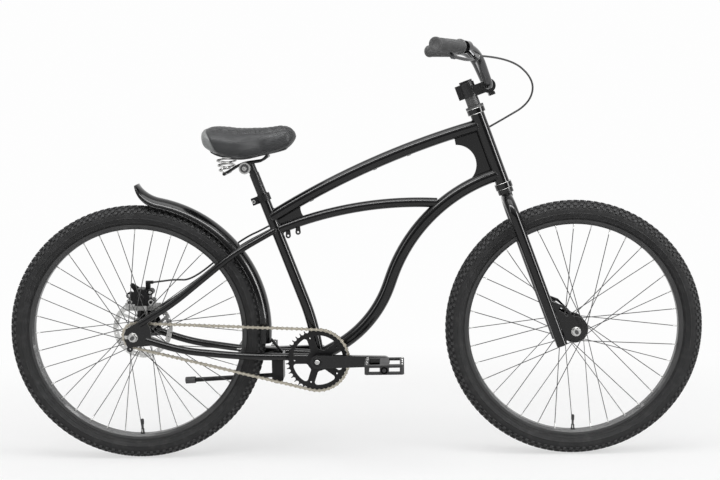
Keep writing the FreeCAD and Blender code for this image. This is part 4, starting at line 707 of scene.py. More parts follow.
# The tyre's worn tone is both its dust and the painted highlight on its knobs.
TYRE_RUBBER = TyreFinish(
    "tyre_rubber", "tyre", (0.016, 0.016, 0.0165), (0.06, 0.06, 0.061), 0.72, grain_scale=1300.0,
    grain_depth=0.00006, specular=0.3,
)
SADDLE_VINYL = VinylFinish(
    "saddle_vinyl", "saddle_vinyl", (0.032, 0.033, 0.0345), (0.046, 0.047, 0.049), 0.48,
    grain=Grain.PEBBLE, grain_scale=620.0, grain_depth=0.00004, specular=0.35,
)
STITCH_THREAD = Finish(
    "stitch_thread", "saddle_vinyl", (0.1, 0.1, 0.102), (0.16, 0.16, 0.16), 0.75, grain_scale=3000.0,
)
CABLE_SLEEVE = Finish(
    "cable_sleeve", "black_plastic", (0.022, 0.022, 0.023), (0.045, 0.045, 0.045), 0.36,
    grain_scale=1200.0,
)
SLOT_FINISHES = {
    finish.slot: finish
    for finish in (
        GLOSS_BLACK, SATIN_BLACK, TYRE_RUBBER, RIM_BLACK, SPOKE_STEEL, BRIGHT_STEEL, CHAIN_STEEL,
        DARK_CHROME, GRIP_RUBBER, BLACK_PLASTIC, SPACER_GREY, BLACK_ALLOY, SADDLE_VINYL,
    )
}
OWN_FINISHES = {
    "rear_axle": SPOKE_STEEL, "front_axle": SPOKE_STEEL, "caliper_adapter": CAST_ALLOY,
    "bearing_cups": GLOSS_BLACK, "saddle_rails": BLACK_ALLOY, "crank_arms": GLOSS_BLACK,
    "brake_lever": DARK_CHROME, "brake_perch": DARK_CHROME, "fork_steerer": BLACK_ALLOY,
}


def dress(piece: bpy.types.Object, finish: Finish) -> None:
    """Gives a piece one finish all over.

    Args:
        piece: The piece.
        finish: Its finish.
    """
    piece.data.materials.clear()
    piece.data.materials.append(finish.make())
    LOG.info("%s wears %s", piece.name, finish.name)


def settle(piece: bpy.types.Object, finish: Finish, body: str, replaces: Sequence[str] = ()) -> None:
    """Dresses a new piece, sets it on its body and hides the solid nodes that it stands for.

    Args:
        piece: The new piece.
        finish: Its finish, which knows the record's material slot.
        body: The solid body it moves with.
        replaces: Solid nodes that it stands for.
    """
    dress(piece, finish)
    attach(piece, body)
    if replaces:
        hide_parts(*replaces)
    LOG.info("%s rides on %s", piece.name, body)


# Sub-assemblies


@dataclass
class Wheel:
    """One wheel: a knobbed tyre, spoke nipples and a valve cap over the solid rim and hub."""

    end: str
    centre: Point
    flange_out: float
    flange_in: float
    spoke_circle: float
    middle_radius: float = 0.3105
    half_width: float = 0.0268
    crown_height: float = 0.0237
    wall_height: float = 0.0265
    bead_angle: float = 154.0
    knob_height: float = 0.0028
    line_share: float = 0.22
    pitches: int = 118
    lean: float = 0.34
    lean_angle: float = 75.0
    shoulder_angle: float = 73.0
    rim_inner: float = 0.2745
    rim_side: float = 0.003
    nipple_lift: float = 0.0005
    spokes_a_side: int = 18
    crossing: float = 60.0
    valve_length: float = 0.038
    block_stops: Profile = (
        (0, 1), (6.5, 1), (12.4, 1), (13.6, 0), (16.4, 0), (17.6, 2), (26, 2), (34.4, 2), (35.6, 0),
        (38.4, 0), (39.6, 3), (48, 3), (56, 3), (57.2, 4), (64, 4), (71, 4),
    )
    wall_stops: Profile = (
        (78, 0), (84, 0), (90, 0), (96, 0), (102, 0), (103, 5), (105, 5), (106, 0), (113, 0), (121, 0),
        (130, 0), (131, 5), (134, 5), (135, 0), (142, 0), (148, 0),
    )
    pitch_shares: tuple[float, ...] = (0.0, 0.03, 0.25, 0.47, 0.5, 0.53, 0.75, 0.97)
    nipple: Profile = (
        (0, 0), (0, 0.0021), (0.004, 0.0021), (0.0052, 0.0017), (0.0125, 0.0016), (0.0132, 0),
    )
    collar: Profile = (
        (0.0005, 0.0055), (0.0035, 0.0055), (0.0045, 0.0046), (0.013, 0.0042), (0.013, 0.003),
    )
    cap: Profile = ((-0.013, 0), (-0.013, 0.0042), (-0.003, 0.0044), (0.001, 0.0036), (0.002, 0))

    def section(self) -> tuple[Array, Array]:
        """Angles round the tyre's section in degrees, and the row of blocks that each belongs to.

        Returns:
            The angles, and 0 for smooth, 1 for the crown row, 2 for the next, 3 and 4 for the
            shoulder, 5 for a raised line on the wall.
        """
        shoulder, bead = (self.shoulder_angle, 0), (self.bead_angle, 0)
        half = [*self.block_stops, shoulder, *self.wall_stops, bead]
        rows = np.array([(-angle, row) for angle, row in reversed(half[1:])] + half, float)
        return rows[:, 0], rows[:, 1].astype(int)

    def tread(self) -> tuple[Shape, Array]:
        """The tyre as a ring: an egg-shaped section round the wheel, its blocks raised along their normals.

        Returns:
            Points and quads, and the relief from nought to one at each point.
        """
        angle, row = self.section()
        shares = np.array(self.pitch_shares)
        flat, early = np.zeros_like(shares), np.array([0.0, 1, 1, 1, 0, 0, 0, 0])
        late = np.roll(early, 4)
        blocks = np.stack([flat, early, late, early, late, flat + self.line_share])
        relief = np.tile(blocks[row], (1, self.pitches))
        bend = np.radians(angle)
        tall = np.where(np.cos(bend) > 0, self.crown_height, self.wall_height)
        out = unit(np.stack([np.sin(bend) / self.half_width, np.cos(bend) / tall], -1))
        lift = relief * self.knob_height
        radius = (self.middle_radius + tall * np.cos(bend))[:, None] + out[:, 1:] * lift
        side = (self.half_width * np.sin(bend))[:, None] + out[:, :1] * lift
        steps = (np.arange(self.pitches)[:, None] + shares).ravel() / self.pitches
        skew = self.lean / self.pitches * np.minimum(np.abs(angle), self.shoulder_angle) / self.lean_angle
        turn = TAU * (steps + skew[:, None])
        points = radius[..., None] * side_ways(turn) + side[..., None] * Y_WAY + np.array(self.centre)
        return (points.reshape(-1, 3), grid_quads(*turn.shape, True)[:, ::-1]), relief.ravel()

    def nipples(self) -> Shape:
        """A small stepped barrel where each spoke meets the rim, pointing along its spoke.

        Returns:
            Points and quads.
        """
        i = np.tile(np.arange(self.spokes_a_side), 2)
        side = np.repeat([1.0, -1.0], self.spokes_a_side)
        outward = i % 2 == 0
        step = TAU / self.spokes_a_side
        start = step * i + np.where(side > 0, 0, step / 2)
        end = start + math.radians(self.crossing) * np.where(outward, 1, -1)
        depth = side * np.where(outward, self.flange_out, self.flange_in)
        hub = side_ways(start) * self.spoke_circle + depth[:, None] * Y_WAY
        rim = side_ways(end) * (self.rim_inner + self.nipple_lift) + side[:, None] * self.rim_side * Y_WAY
        return stamp(lathe(self.nipple, around=8), rim + np.array(self.centre), turned_to(hub - rim, Y_WAY))

    def valve_cap(self) -> Shape:
        """A fluted cap and a collar over the valve at the bottom of the rim.

        Returns:
            Points and quads.
        """
        base = np.array(self.centre) - Z_WAY * self.rim_inner
        cap = lathe(self.cap, base + Z_WAY * self.valve_length, Z_WAY, 12)
        return joined([cap, lathe(self.collar, base, Z_WAY, 20)])

    def build(self) -> None:
        """Makes the wheel's pieces and sets them on its body."""
        body = self.end + "_wheel"
        shape, relief = self.tread()
        tyre = add_piece(self.end + "_tread", shape, 50.0)
        # The kept relief also lightens the raised knobs in the colour, as a painted highlight.
        mark(tyre, "relief", relief)
        settle(tyre, TYRE_RUBBER, body, [self.end + "_tyre"])
        settle(add_piece(self.end + "_nipples", self.nipples()), BRIGHT_STEEL, body)
        settle(add_piece(self.end + "_valve_cap", self.valve_cap()), BLACK_PLASTIC, body)


@dataclass
class Saddle:
    """The padded seat: a swollen vinyl cushion with a quilted top, its hard pan and the coil springs.

    The spans upward and panel_start are a start and a reach. The spans closing, pan_ends and
    stitch_ends are for the rear and the front.
    """

    rear_x: float = -0.389
    length: float = 0.245
    half_width: float = 0.108
    low: float = 0.794
    height: float = 0.079
    closing: Span = (0.07, 0.1)
    side_power: float = 0.7
    top_power: float = 0.85
    under_power: float = 0.55
    voxel: float = 0.0042
    pressure: float = 2.0
    frames: int = 18
    swell_cap: float = 0.003
    quilt_pitch: float = 0.027
    quilt_slant: float = 0.8
    quilt_share: float = 0.8
    puff_height: float = 0.0012
    channel_depth: float = 0.0016
    channel_half: float = 0.0021
    upward: Span = (0.25, 0.3)
    top_share: float = 0.74
    top_fade: float = 0.006
    panel_start: Span = (0.004, 0.008)
    panel_low: float = 0.205
    panel_lean: float = 0.135
    panel_power: float = 1.6
    panel_ramp: float = 0.012
    pan_ends: Span = (0.11, 0.9)
    pan_share: float = 0.58
    pan_gap: float = 0.0015
    pan_thickness: float = 0.0025
    stitch_pitch: float = 0.0052
    stitch_inset: float = 0.0042
    stitch_ends: Span = (0.03, 0.016)
    stitch_lift: float = 0.0002
    stitch_least_rise: float = 0.2
    thread: Profile = ((-0.0017, 0), (-0.0013, 0.0004), (0.0013, 0.0004), (0.0017, 0))
    coil_spot: Span = (-0.327, 0.05)
    coil_radii: Span = (0.012, 0.02)
    coil_heights: Span = (0.7629, 0.7993)
    coil_turns: int = 3
    coil_wire: float = 0.0024
    shares: tuple[tuple[float, float, float, float], ...] = (
        (0.0, 0.6, 0.6, 0.9), (0.07, 0.9, 0.34, 1.0), (0.22, 1.0, 0.1, 0.98), (0.42, 0.88, 0.0, 0.92),
        (0.66, 0.58, 0.13, 0.93), (0.88, 0.42, 0.29, 1.0), (0.97, 0.34, 0.44, 0.94),
        (1.0, 0.24, 0.56, 0.82),
    )

    def outline(self, along: Array) -> tuple[Array, Array, Array]:
        """Half width, underside and top of the cushion at shares of its length.

        Args:
            along: Shares of the length from the rear.

        Returns:
            Three arrays of metres.
        """
        stops, *columns = np.array(self.shares).T
        wide, low, high = (eased(along, stops, column) for column in columns)
        return wide * self.half_width, self.low + low * self.height, self.low + high * self.height

    def block(self) -> Shape:
        """The cushion before it swells: rounded sections carried along x, drawn to a point at both ends.

        Returns:
            Points and quads.
        """
        turn = np.linspace(0, TAU, 64, endpoint=False)
        along = 0.5 - 0.5 * np.cos(np.linspace(0, math.pi, 72))
        wide, low, high = self.outline(along)
        ease = np.ones_like(along)
        for gone, reach in zip((along, 1 - along), self.closing):
            ease *= np.sqrt(1 - np.clip(1 - gone / reach, 0, 1) ** 2)
        waist = (low + high) / 2
        cos, sin = np.cos(turn), np.sin(turn)
        wide_at = np.sign(cos) * np.abs(cos) ** self.side_power
        high_at = np.where(sin > 0, np.abs(sin) ** self.top_power, -(np.abs(sin) ** self.under_power))
        y = (wide * ease)[:, None] * wide_at
        rise = np.where(sin > 0, (high - waist)[:, None], (waist - low)[:, None]) * ease[:, None]
        x = np.broadcast_to((self.rear_x + along * self.length)[:, None], y.shape)
        points = np.stack([x, y, waist[:, None] + rise * high_at], -1)
        return points.reshape(-1, 3), grid_quads(len(along), len(turn))

    def swollen(self, piece: bpy.types.Object) -> None:
        """Blows the cushion up a little as a cloth bag, each point held to the cap, and keeps the result.

        Args:
            piece: The cushion.
        """
        remesh = piece.modifiers.new("even", "REMESH")
        remesh.mode = "VOXEL"
        remesh.voxel_size = self.voxel
        self.bake(piece)
        start = rows_of(piece.data.vertices)
        cloth = piece.modifiers.new("swell", "CLOTH")
        cloth.settings.use_pressure = True
        cloth.settings.uniform_pressure_force = self.pressure
        cloth.settings.quality = 5
        cloth.settings.effector_weights.gravity = 0.0
        scene = bpy.context.scene
        for frame in range(1, self.frames + 1):
            scene.frame_set(frame)
        self.bake(piece)
        scene.frame_set(1)
        moved = rows_of(piece.data.vertices) - start
        far = np.linalg.norm(moved, axis=1, keepdims=True)
        move_to(piece.data, start + moved * np.minimum(1, self.swell_cap / np.maximum(far, 1e-9)))

    @staticmethod
    def bake(piece: bpy.types.Object) -> None:
        """Puts what the modifiers give into the mesh and removes them.

        Args:
            piece: The piece that has them.
        """
        graph = bpy.context.evaluated_depsgraph_get()
        mesh = bpy.data.meshes.new_from_object(piece.evaluated_get(graph))
        piece.modifiers.clear()
        piece.data = mesh

    def top_edge(self, x: Array) -> Array:
        """Half width of the quilted top panel at places along the saddle."""
        wide, _, _ = self.outline(ramp(x, self.rear_x, self.length))
        return self.top_share * wide

    def panel_edge(self, z: Array) -> Array:
        """Where along x the pale rear panel ends, further forward low down."""
        share = ramp(z, self.low, self.height)
        return self.rear_x + self.length * (self.panel_low - self.panel_lean * share**self.panel_power)

    def channel(self, apart: Array) -> Array:
        """One on a seam, falling off as a bell curve with the distance from it."""
        return np.exp(-((apart / self.channel_half) ** 2))

    def sewn(self, piece: bpy.types.Object) -> None:
        """Presses the seams and the diamond quilting into the top, and keeps their places for the colour,
        where they get painted shade.

        Args:
            piece: The cushion.
        """
        spots = rows_of(piece.data.vertices)
        ways = rows_of(piece.data.vertex_normals, "vector")
        x, y, z = spots.T
        ahead, inward = x - self.panel_edge(z), self.top_edge(x) - np.abs(y)
        upper = ramp(ways[:, 2], *self.upward) * ramp(ahead, *self.panel_start)
        inside = ramp(inward, 0, self.top_fade) * upper
        cross = [(x - self.rear_x + s * self.quilt_slant * y) / self.quilt_pitch for s in (1, -1)]
        lines = [np.abs(c - np.round(c)) * self.quilt_pitch for c in cross]
        quilt = self.channel(np.minimum(*lines)) * inside
        puff = np.sin(math.pi * (cross[0] % 1)) * np.sin(math.pi * (cross[1] % 1)) * inside
        hem = self.channel(inward) * upper
        # The seam mask presses the channels and also darkens them in the colour as painted shade.
        seam_shade = np.maximum(np.maximum(quilt * self.quilt_share, hem), self.channel(ahead))
        move_to(piece.data, spots + ways * (self.puff_height * puff - self.channel_depth * seam_shade)[:, None])
        mark(piece, "seam_shade", seam_shade)
        mark(piece, "panel", ramp(-ahead, -self.panel_ramp / 2, self.panel_ramp))

    def pan(self) -> Shape:
        """The hard base: a thin tray that follows the cushion's underside a little below it.

        Returns:
            Points and quads.
        """
        along = np.linspace(*self.pan_ends, 48)[:, None]
        wide, low, high = self.outline(along)
        share = self.pan_share * np.linspace(-1, 1, 25)
        cos = np.abs(share) ** (1 / self.side_power)
        waist = (low + high) / 2
        top = waist - (waist - low) * np.sqrt(1 - cos * cos) ** self.under_power - self.pan_gap
        thick = np.full_like(along, self.pan_thickness)
        thick[[0, -1]] = 0
        x = np.broadcast_to(self.rear_x + along * self.length, top.shape)
        upper, under = (np.stack([x, wide * share, z], -1) for z in (top, top - thick))
        points = np.concatenate([upper, under[:, ::-1]], 1)
        return points.reshape(-1, 3), grid_quads(len(points), points.shape[1])

    def stitches(self, cushion: bpy.types.Object) -> Shape:
        """Short threads beside the top panel's seam, laid on the cushion from above.

        Args:
            cushion: The finished cushion.

        Returns:
            Points and quads.
        """
        tree = BVHTree.FromObject(cushion, bpy.context.evaluated_depsgraph_get())
        first, last = self.rear_x + self.stitch_ends[0], self.rear_x + self.length - self.stitch_ends[1]
        x = np.arange(first, last, self.stitch_pitch)
        places, ways = [], []
        for side in (-1, 1):
            y = side * (self.top_edge(x) - self.stitch_inset)
            run = np.gradient(np.stack([x, y], -1), axis=0)
            for px, py, (dx, dy) in zip(x, y, run):
                hit, normal, _, _ = tree.ray_cast(Vector((px, py, 1.0)), Vector((0, 0, -1)))
                if hit is None:
                    continue
                places.append(np.array(hit) + self.stitch_lift * np.array(normal))
                fall = (normal.x * dx + normal.y * dy) / max(normal.z, self.stitch_least_rise)
                ways.append((dx, dy, -fall))
        thread = lathe(self.thread, around=6)
        return stamp(thread, np.array(places), turned_to(np.array(ways), Y_WAY))

    def coils(self) -> Shape:
        """Two conical springs: radius and height rise evenly with the turn, in round wire.

        Returns:
            Points and quads.
        """
        share = np.linspace(0, 1, 145)
        radius, height = (np.interp(share, (0, 1), ends) for ends in (self.coil_radii, self.coil_heights))
        turn = TAU * self.coil_turns * share + math.pi / 2
        x, y = self.coil_spot[0] + radius * np.cos(turn), self.coil_spot[1] + radius * np.sin(turn)
        paths = [np.stack([x, side * y, height], -1) for side in (-1, 1)]
        return joined([sweep(path, self.coil_wire, 10, Z_WAY) for path in paths])

    def build(self) -> None:
        """Makes the cushion, its stitching, the pan and the springs."""
        cushion = add_piece("saddle_cushion", self.block(), 180.0)
        self.swollen(cushion)
        smooth = cushion.modifiers.new("smooth", "SUBSURF")
        smooth.levels = smooth.render_levels = 1
        self.bake(cushion)
        shade_smooth(cushion.data)
        self.sewn(cushion)
        settle(cushion, SADDLE_VINYL, "saddle", ["saddle_cover"])
        settle(add_piece("saddle_stitches", self.stitches(cushion)), STITCH_THREAD, "saddle")
        settle(add_piece("saddle_pan", self.pan(), 40.0), BLACK_PLASTIC, "saddle", ["saddle_base"])
        springs = add_piece("saddle_coils", self.coils(), 60.0)
        settle(springs, BRIGHT_STEEL, "seat_post", ["saddle_springs"])
        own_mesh(springs)


@dataclass
class Cockpit:
    """Ribbed grips on the bar ends and the brake cable that leaves the lever."""

    grip_radius: float = 0.0158
    grip_length: float = 0.122
    grip_bore: float = 0.0113
    flange_radius: float = 0.0185
    flange: Profile = ((0, -0.001), (0.001, 0), (0.0035, 0), (0.005, -0.0012))
    flange_end: float = 0.0062
    rib_ends: Span = (0.009, 0.006)
    rib_pitch: float = 0.0042
    rib: Profile = ((0, 0), (0.0006, -0.0009), (0.0014, -0.0009), (0.002, 0))
    cap: Profile = ((-0.001, 0.0012), (0.0022, 0.001), (0.003, -0.001))
    cap_dish: Profile = ((0.003, 0.009), (0.0022, 0.008), (0.0022, 0))
    bar_end: Point = (0.209, 0.303, 1.069)
    bar_way: Point = (-0.5058, 0.8622, 0.0289)
    cable_radius: float = 0.0025
    ferrule: Profile = (
        (-0.004, 0), (-0.004, 0.0026), (-0.003, 0.0032), (0.008, 0.0032), (0.009, 0.0027), (0.009, 0.0024),
    )
    loop: tuple[Point, ...] = (
        (0.3139, -0.1601, 1.0439), (0.405, -0.02, 1.042), (0.472, 0.012, 0.985), (0.462, 0.028, 0.925),
        (0.392, 0.032, 0.884), (0.3234, 0.0271, 0.8468),
    )
    run: tuple[Point, ...] = (
        (0.322, 0.027, 0.846), (0.2804, 0.0133, 0.8432), (0.1896, 0.0133, 0.8138),
        (0.1003, 0.0133, 0.7803), (0.0125, 0.0133, 0.7428), (-0.0735, 0.0133, 0.7014),
        (-0.1471, 0.0133, 0.662), (-0.222, 0.0195, 0.612), (-0.308, 0.056, 0.572),
        (-0.435, 0.0652, 0.4646), (-0.49, 0.074, 0.465), (-0.518, 0.077, 0.461), (-0.546, 0.077, 0.458),
    )

    def grip(self, side: int) -> Shape:
        """A ribbed rubber sleeve: the radius dips in a fine groove every few millimetres, with a flange.

        Args:
            side: One for the rider's left, minus one for the right.

        Returns:
            Points and quads.
        """
        way, end = (np.array(row) * (1, side, 1) for row in (self.bar_way, self.bar_end))
        base, last = self.grip_radius, self.grip_length
        row = [(0, self.grip_bore), *((s, self.flange_radius + r) for s, r in self.flange)]
        row.append((self.flange_end, base))
        stations = np.arange(self.rib_ends[0], last - self.rib_ends[1], self.rib_pitch)
        row += [(station + s, base + r) for station in stations for s, r in self.rib]
        row += [(last + s, base + r) for s, r in self.cap] + [(last + s, r) for s, r in self.cap_dish]
        return lathe(row, end - way * last, way)

    def cable(self, name: str, route: Sequence[Point]) -> tuple[bpy.types.Object, Array]:
        """A round cable sleeve along the smooth curve that a route's corners control.

        Args:
            name: The piece's name.
            route: The corners.

        Returns:
            The piece and the points of its middle line.
        """
        mesh = curve_mesh([np.array(route)], False, {"dimensions": "3D", "resolution_u": 16})
        path = rows_of(mesh.vertices)
        bpy.data.meshes.remove(mesh)
        return add_piece(name, sweep(path, self.cable_radius, 12, Y_WAY), 60.0), path

    def build(self) -> None:
        """Makes the grips, both runs of the cable and the metal end cap at the lever."""
        for side, word in ((-1, "right"), (1, "left")):
            settle(add_piece("grip_" + word, self.grip(side), 40.0), GRIP_RUBBER, "fork", ["grips"])
        loop, path = self.cable("brake_cable_loop", self.loop)
        dress(loop, CABLE_SLEEVE)
        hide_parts("front_brake_cable")
        tuple(path[-1])
        tuple(path[0])
        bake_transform(loop)
        tuple(path[0])
        run_length(path)
        run, way = self.cable("brake_cable_run", self.run)
        settle(run, CABLE_SLEEVE, "frame", ["rear_brake_cable"])
        tuple(way[0])
        run_length(way)
        ferrule = stamp(lathe(self.ferrule, around=16), path[:1], turned_to(np.diff(path[:2], axis=0), Y_WAY))
        settle(add_piece("cable_ferrule_lever", ferrule), BRIGHT_STEEL, "fork")


@dataclass
class Drivetrain:
    """The roller chain round the ring and the cog, link by link."""

    ring: Point = (-0.0981, -0.046, 0.2664)
    cog: Point = (-0.573, -0.046, 0.337)
    pitch: float = 0.0127
    pins: int = 104
    teeth: tuple[int, int] = (40, 16)
    plate_radius: float = 0.0042
    plate_thickness: float = 0.001
    waist_share: float = 0.6
    inner_offset: float = 0.00215
    roller_radius: float = 0.00388
    roller_half: float = 0.00165
    pin: Profile = (
        (-0.0045, 0), (-0.0045, 0.0014), (-0.0039, 0.0019), (0.0039, 0.0019), (0.0045, 0.0014), (0.0045, 0),
    )

    def pin_places(self) -> Array:
        """Pins along the loop, counted in pitches: ring arc, lower run, cog arc, upper run.

        On each run the circle's centre, radius and angle pass evenly from the start to the end.

        Returns:
            One place for each pin.
        """
        radii = self.pitch / 2 / np.sin(math.pi / np.array(self.teeth))
        gap = np.array(self.cog) - np.array(self.ring)
        apart = math.hypot(gap[0], gap[2])
        slope = math.atan2(gap[2], -gap[0])
        wrap = math.asin((radii[0] - radii[1]) / apart)
        first, last = math.pi / 2 - slope + wrap, -math.pi / 2 - slope - wrap
        run = math.sqrt(apart**2 - (radii[0] - radii[1]) ** 2) / self.pitch
        arcs = [(first - last) * self.teeth[0] / TAU, (TAU - first + last) * self.teeth[1] / TAU]
        stops = np.cumsum([0, arcs[0], run, arcs[1], run])
        count = np.arange(self.pins) + 0.5
        leg = np.searchsorted(stops, count) - 1
        share = (count - stops[leg]) / np.diff(stops)[leg]
        angles = np.array([(first, last), (last, last), (last, first - TAU), (first, first)])[leg]
        weights = np.array([(0, 0), (0, 1), (1, 1), (1, 0)])[leg]
        angle, weight = (row[:, 0] + (row[:, 1] - row[:, 0]) * share for row in (angles, weights))
        radius = radii[0] + weight * (radii[1] - radii[0])
        return np.array(self.ring) + weight[:, None] * gap + radius[:, None] * side_ways(angle)

    def plate(self) -> Shape:
        """A waisted plate: two discs a pitch apart and a narrower neck, the middle drawn to a spine.

        Returns:
            Points and quads.
        """
        half = self.pitch / 2
        x = -(half + self.plate_radius) * np.cos(np.linspace(0, math.pi, 13))
        disc = np.sqrt(np.clip(self.plate_radius**2 - (np.abs(x) - half) ** 2, 0, None))
        tall = np.maximum(disc, np.where(np.abs(x) < half, self.plate_radius * self.waist_share, 0))
        loop_x = np.concatenate([x, x[-2:0:-1]])
        loop_z = np.concatenate([tall, -tall[-2:0:-1]])
        thick = self.plate_thickness / 2
        rows = [(-thick, 0.0), (-thick, 1.0), (thick, 1.0), (thick, 0.0)]
        points = [np.stack([loop_x, np.full_like(loop_x, y), loop_z * k], -1) for y, k in rows]
        return np.concatenate(points), grid_quads(len(rows), len(loop_x))

    def build(self) -> None:
        """Makes the links and sets the loop on the frame."""
        pins = self.pin_places()
        after = np.roll(pins, -1, 0)
        way = unit(after - pins)
        side = np.broadcast_to(Y_WAY, way.shape)
        turns = np.stack([way, side, np.cross(way, side)], -1)
        offset = self.inner_offset + (np.arange(self.pins) % 2) * self.plate_thickness
        middle = (pins + after) / 2
        parts = [stamp(self.plate(), middle + s * offset[:, None] * Y_WAY, turns) for s in (-1, 1)]
        wide, radius = self.roller_half, self.roller_radius
        roller = [(-wide, 0), (-wide, radius), (wide, radius), (wide, 0)]
        still = np.broadcast_to(np.eye(3), (self.pins, 3, 3))
        for row, around in ((roller, 12), (self.pin, 8)):
            parts.append(stamp(lathe(row, ORIGIN, Y_WAY, around), pins, still))
        settle(add_piece("chain_links", joined(parts), 30.0), CHAIN_STEEL, "frame", ["chain"])


@dataclass
class DiscBrake:
    """The drilled disc on the rear hub, and the barrels and knob of its caliper."""

    centre: Point = (-0.573, 0.0518, 0.337)
    thickness: float = 0.0018
    outer: float = 0.0795
    wave: float = 0.0005
    waves: int = 12
    track: float = 0.0655
    ring: float = 0.0255
    bore: float = 0.0169
    arms: int = 6
    window_inner: Span = (0.16, 0.2)
    window_outer: float = 0.06
    arm_sweep: float = 0.42
    holes: int = 36
    hole_radius: float = 0.0021
    hole_rows: tuple[float, ...] = (0.0686, 0.0725, 0.0764)
    dome: Point = (-0.576, 0.0, 0.42)
    knob: Profile = (
        (0.0395, 0), (0.0395, 0.0095), (0.0405, 0.011), (0.0425, 0.011), (0.0435, 0.0125), (0.0435, 0),
    )
    barrel_spots: tuple[Span, ...] = ((-0.606, 0.4268), (-0.5492, 0.4356))
    barrel: Profile = (
        (0.046, 0), (0.046, 0.006), (0.048, 0.0082), (0.056, 0.0082), (0.0565, 0.0074), (0.059, 0.0074),
        (0.0595, 0.0082), (0.073, 0.0082), (0.075, 0.0064), (0.075, 0),
    )

    @staticmethod
    def loop(radius: Array | float, turn: Array, middle: Point = (0.0, 0.0, 0.0)) -> Array:
        """A closed line lying flat: middle + radius * (cos, sin) of each turn."""
        x, y, z = middle
        return np.stack([x + radius * np.cos(turn), y + radius * np.sin(turn), np.full_like(turn, z)], -1)

    def lines(self) -> list[Array]:
        """The disc's wavy rim, its bore, the windows between swept arms and the drilled holes.

        Returns:
            Points of each closed line.
        """
        full = np.arange(192) * TAU / 192
        rim = self.outer + self.wave * np.cos(self.waves * full)
        lines = [self.loop(rim, full), self.loop(self.bore, full[::4])]
        step = TAU / self.arms
        for k in range(self.arms):
            inner = np.linspace(self.window_inner[0], step - self.window_inner[1], 9) + k * step
            outer = np.linspace(step - self.window_outer, self.window_outer, 15) + k * step + self.arm_sweep
            lines.append(np.concatenate([self.loop(self.ring, inner), self.loop(self.track, outer)]))
        tiny = np.arange(14) * TAU / 14
        reach = np.resize(self.hole_rows, self.holes)
        middles = self.loop(reach, np.arange(self.holes) * TAU / self.holes)
        return lines + [self.loop(self.hole_radius, tiny, middle) for middle in middles]

    def disc(self) -> bpy.types.Object:
        """A flat curve filled between its lines, made a mesh, then stood up on the wheel's middle.

        Returns:
            The disc.
        """
        settings = {"dimensions": "2D", "fill_mode": "BOTH", "extrude": self.thickness / 2}
        mesh = curve_mesh(self.lines(), True, settings)
        x, y, z = rows_of(mesh.vertices).T
        move_to(mesh, np.stack([x, -z, y], -1) + np.array(self.centre))
        return linked("rotor_disc", mesh)

    def barrels(self) -> Shape:
        """Two stepped barrels beside the caliper's dome and a fluted knob on its inner face."""
        parts = [lathe(self.barrel, np.array([x, 0.0, z]), Y_WAY, 28) for x, z in self.barrel_spots]
        return joined([*parts, lathe(self.knob, np.array(self.dome), Y_WAY, 14)])

    def build(self) -> None:
        """Makes the disc and the barrels and sets them on the wheel and the frame."""
        settle(self.disc(), BRIGHT_STEEL, "rear_wheel", ["brake_rotor"])
        settle(add_piece("caliper_barrels", self.barrels(), 30.0), SATIN_BLACK, "frame")


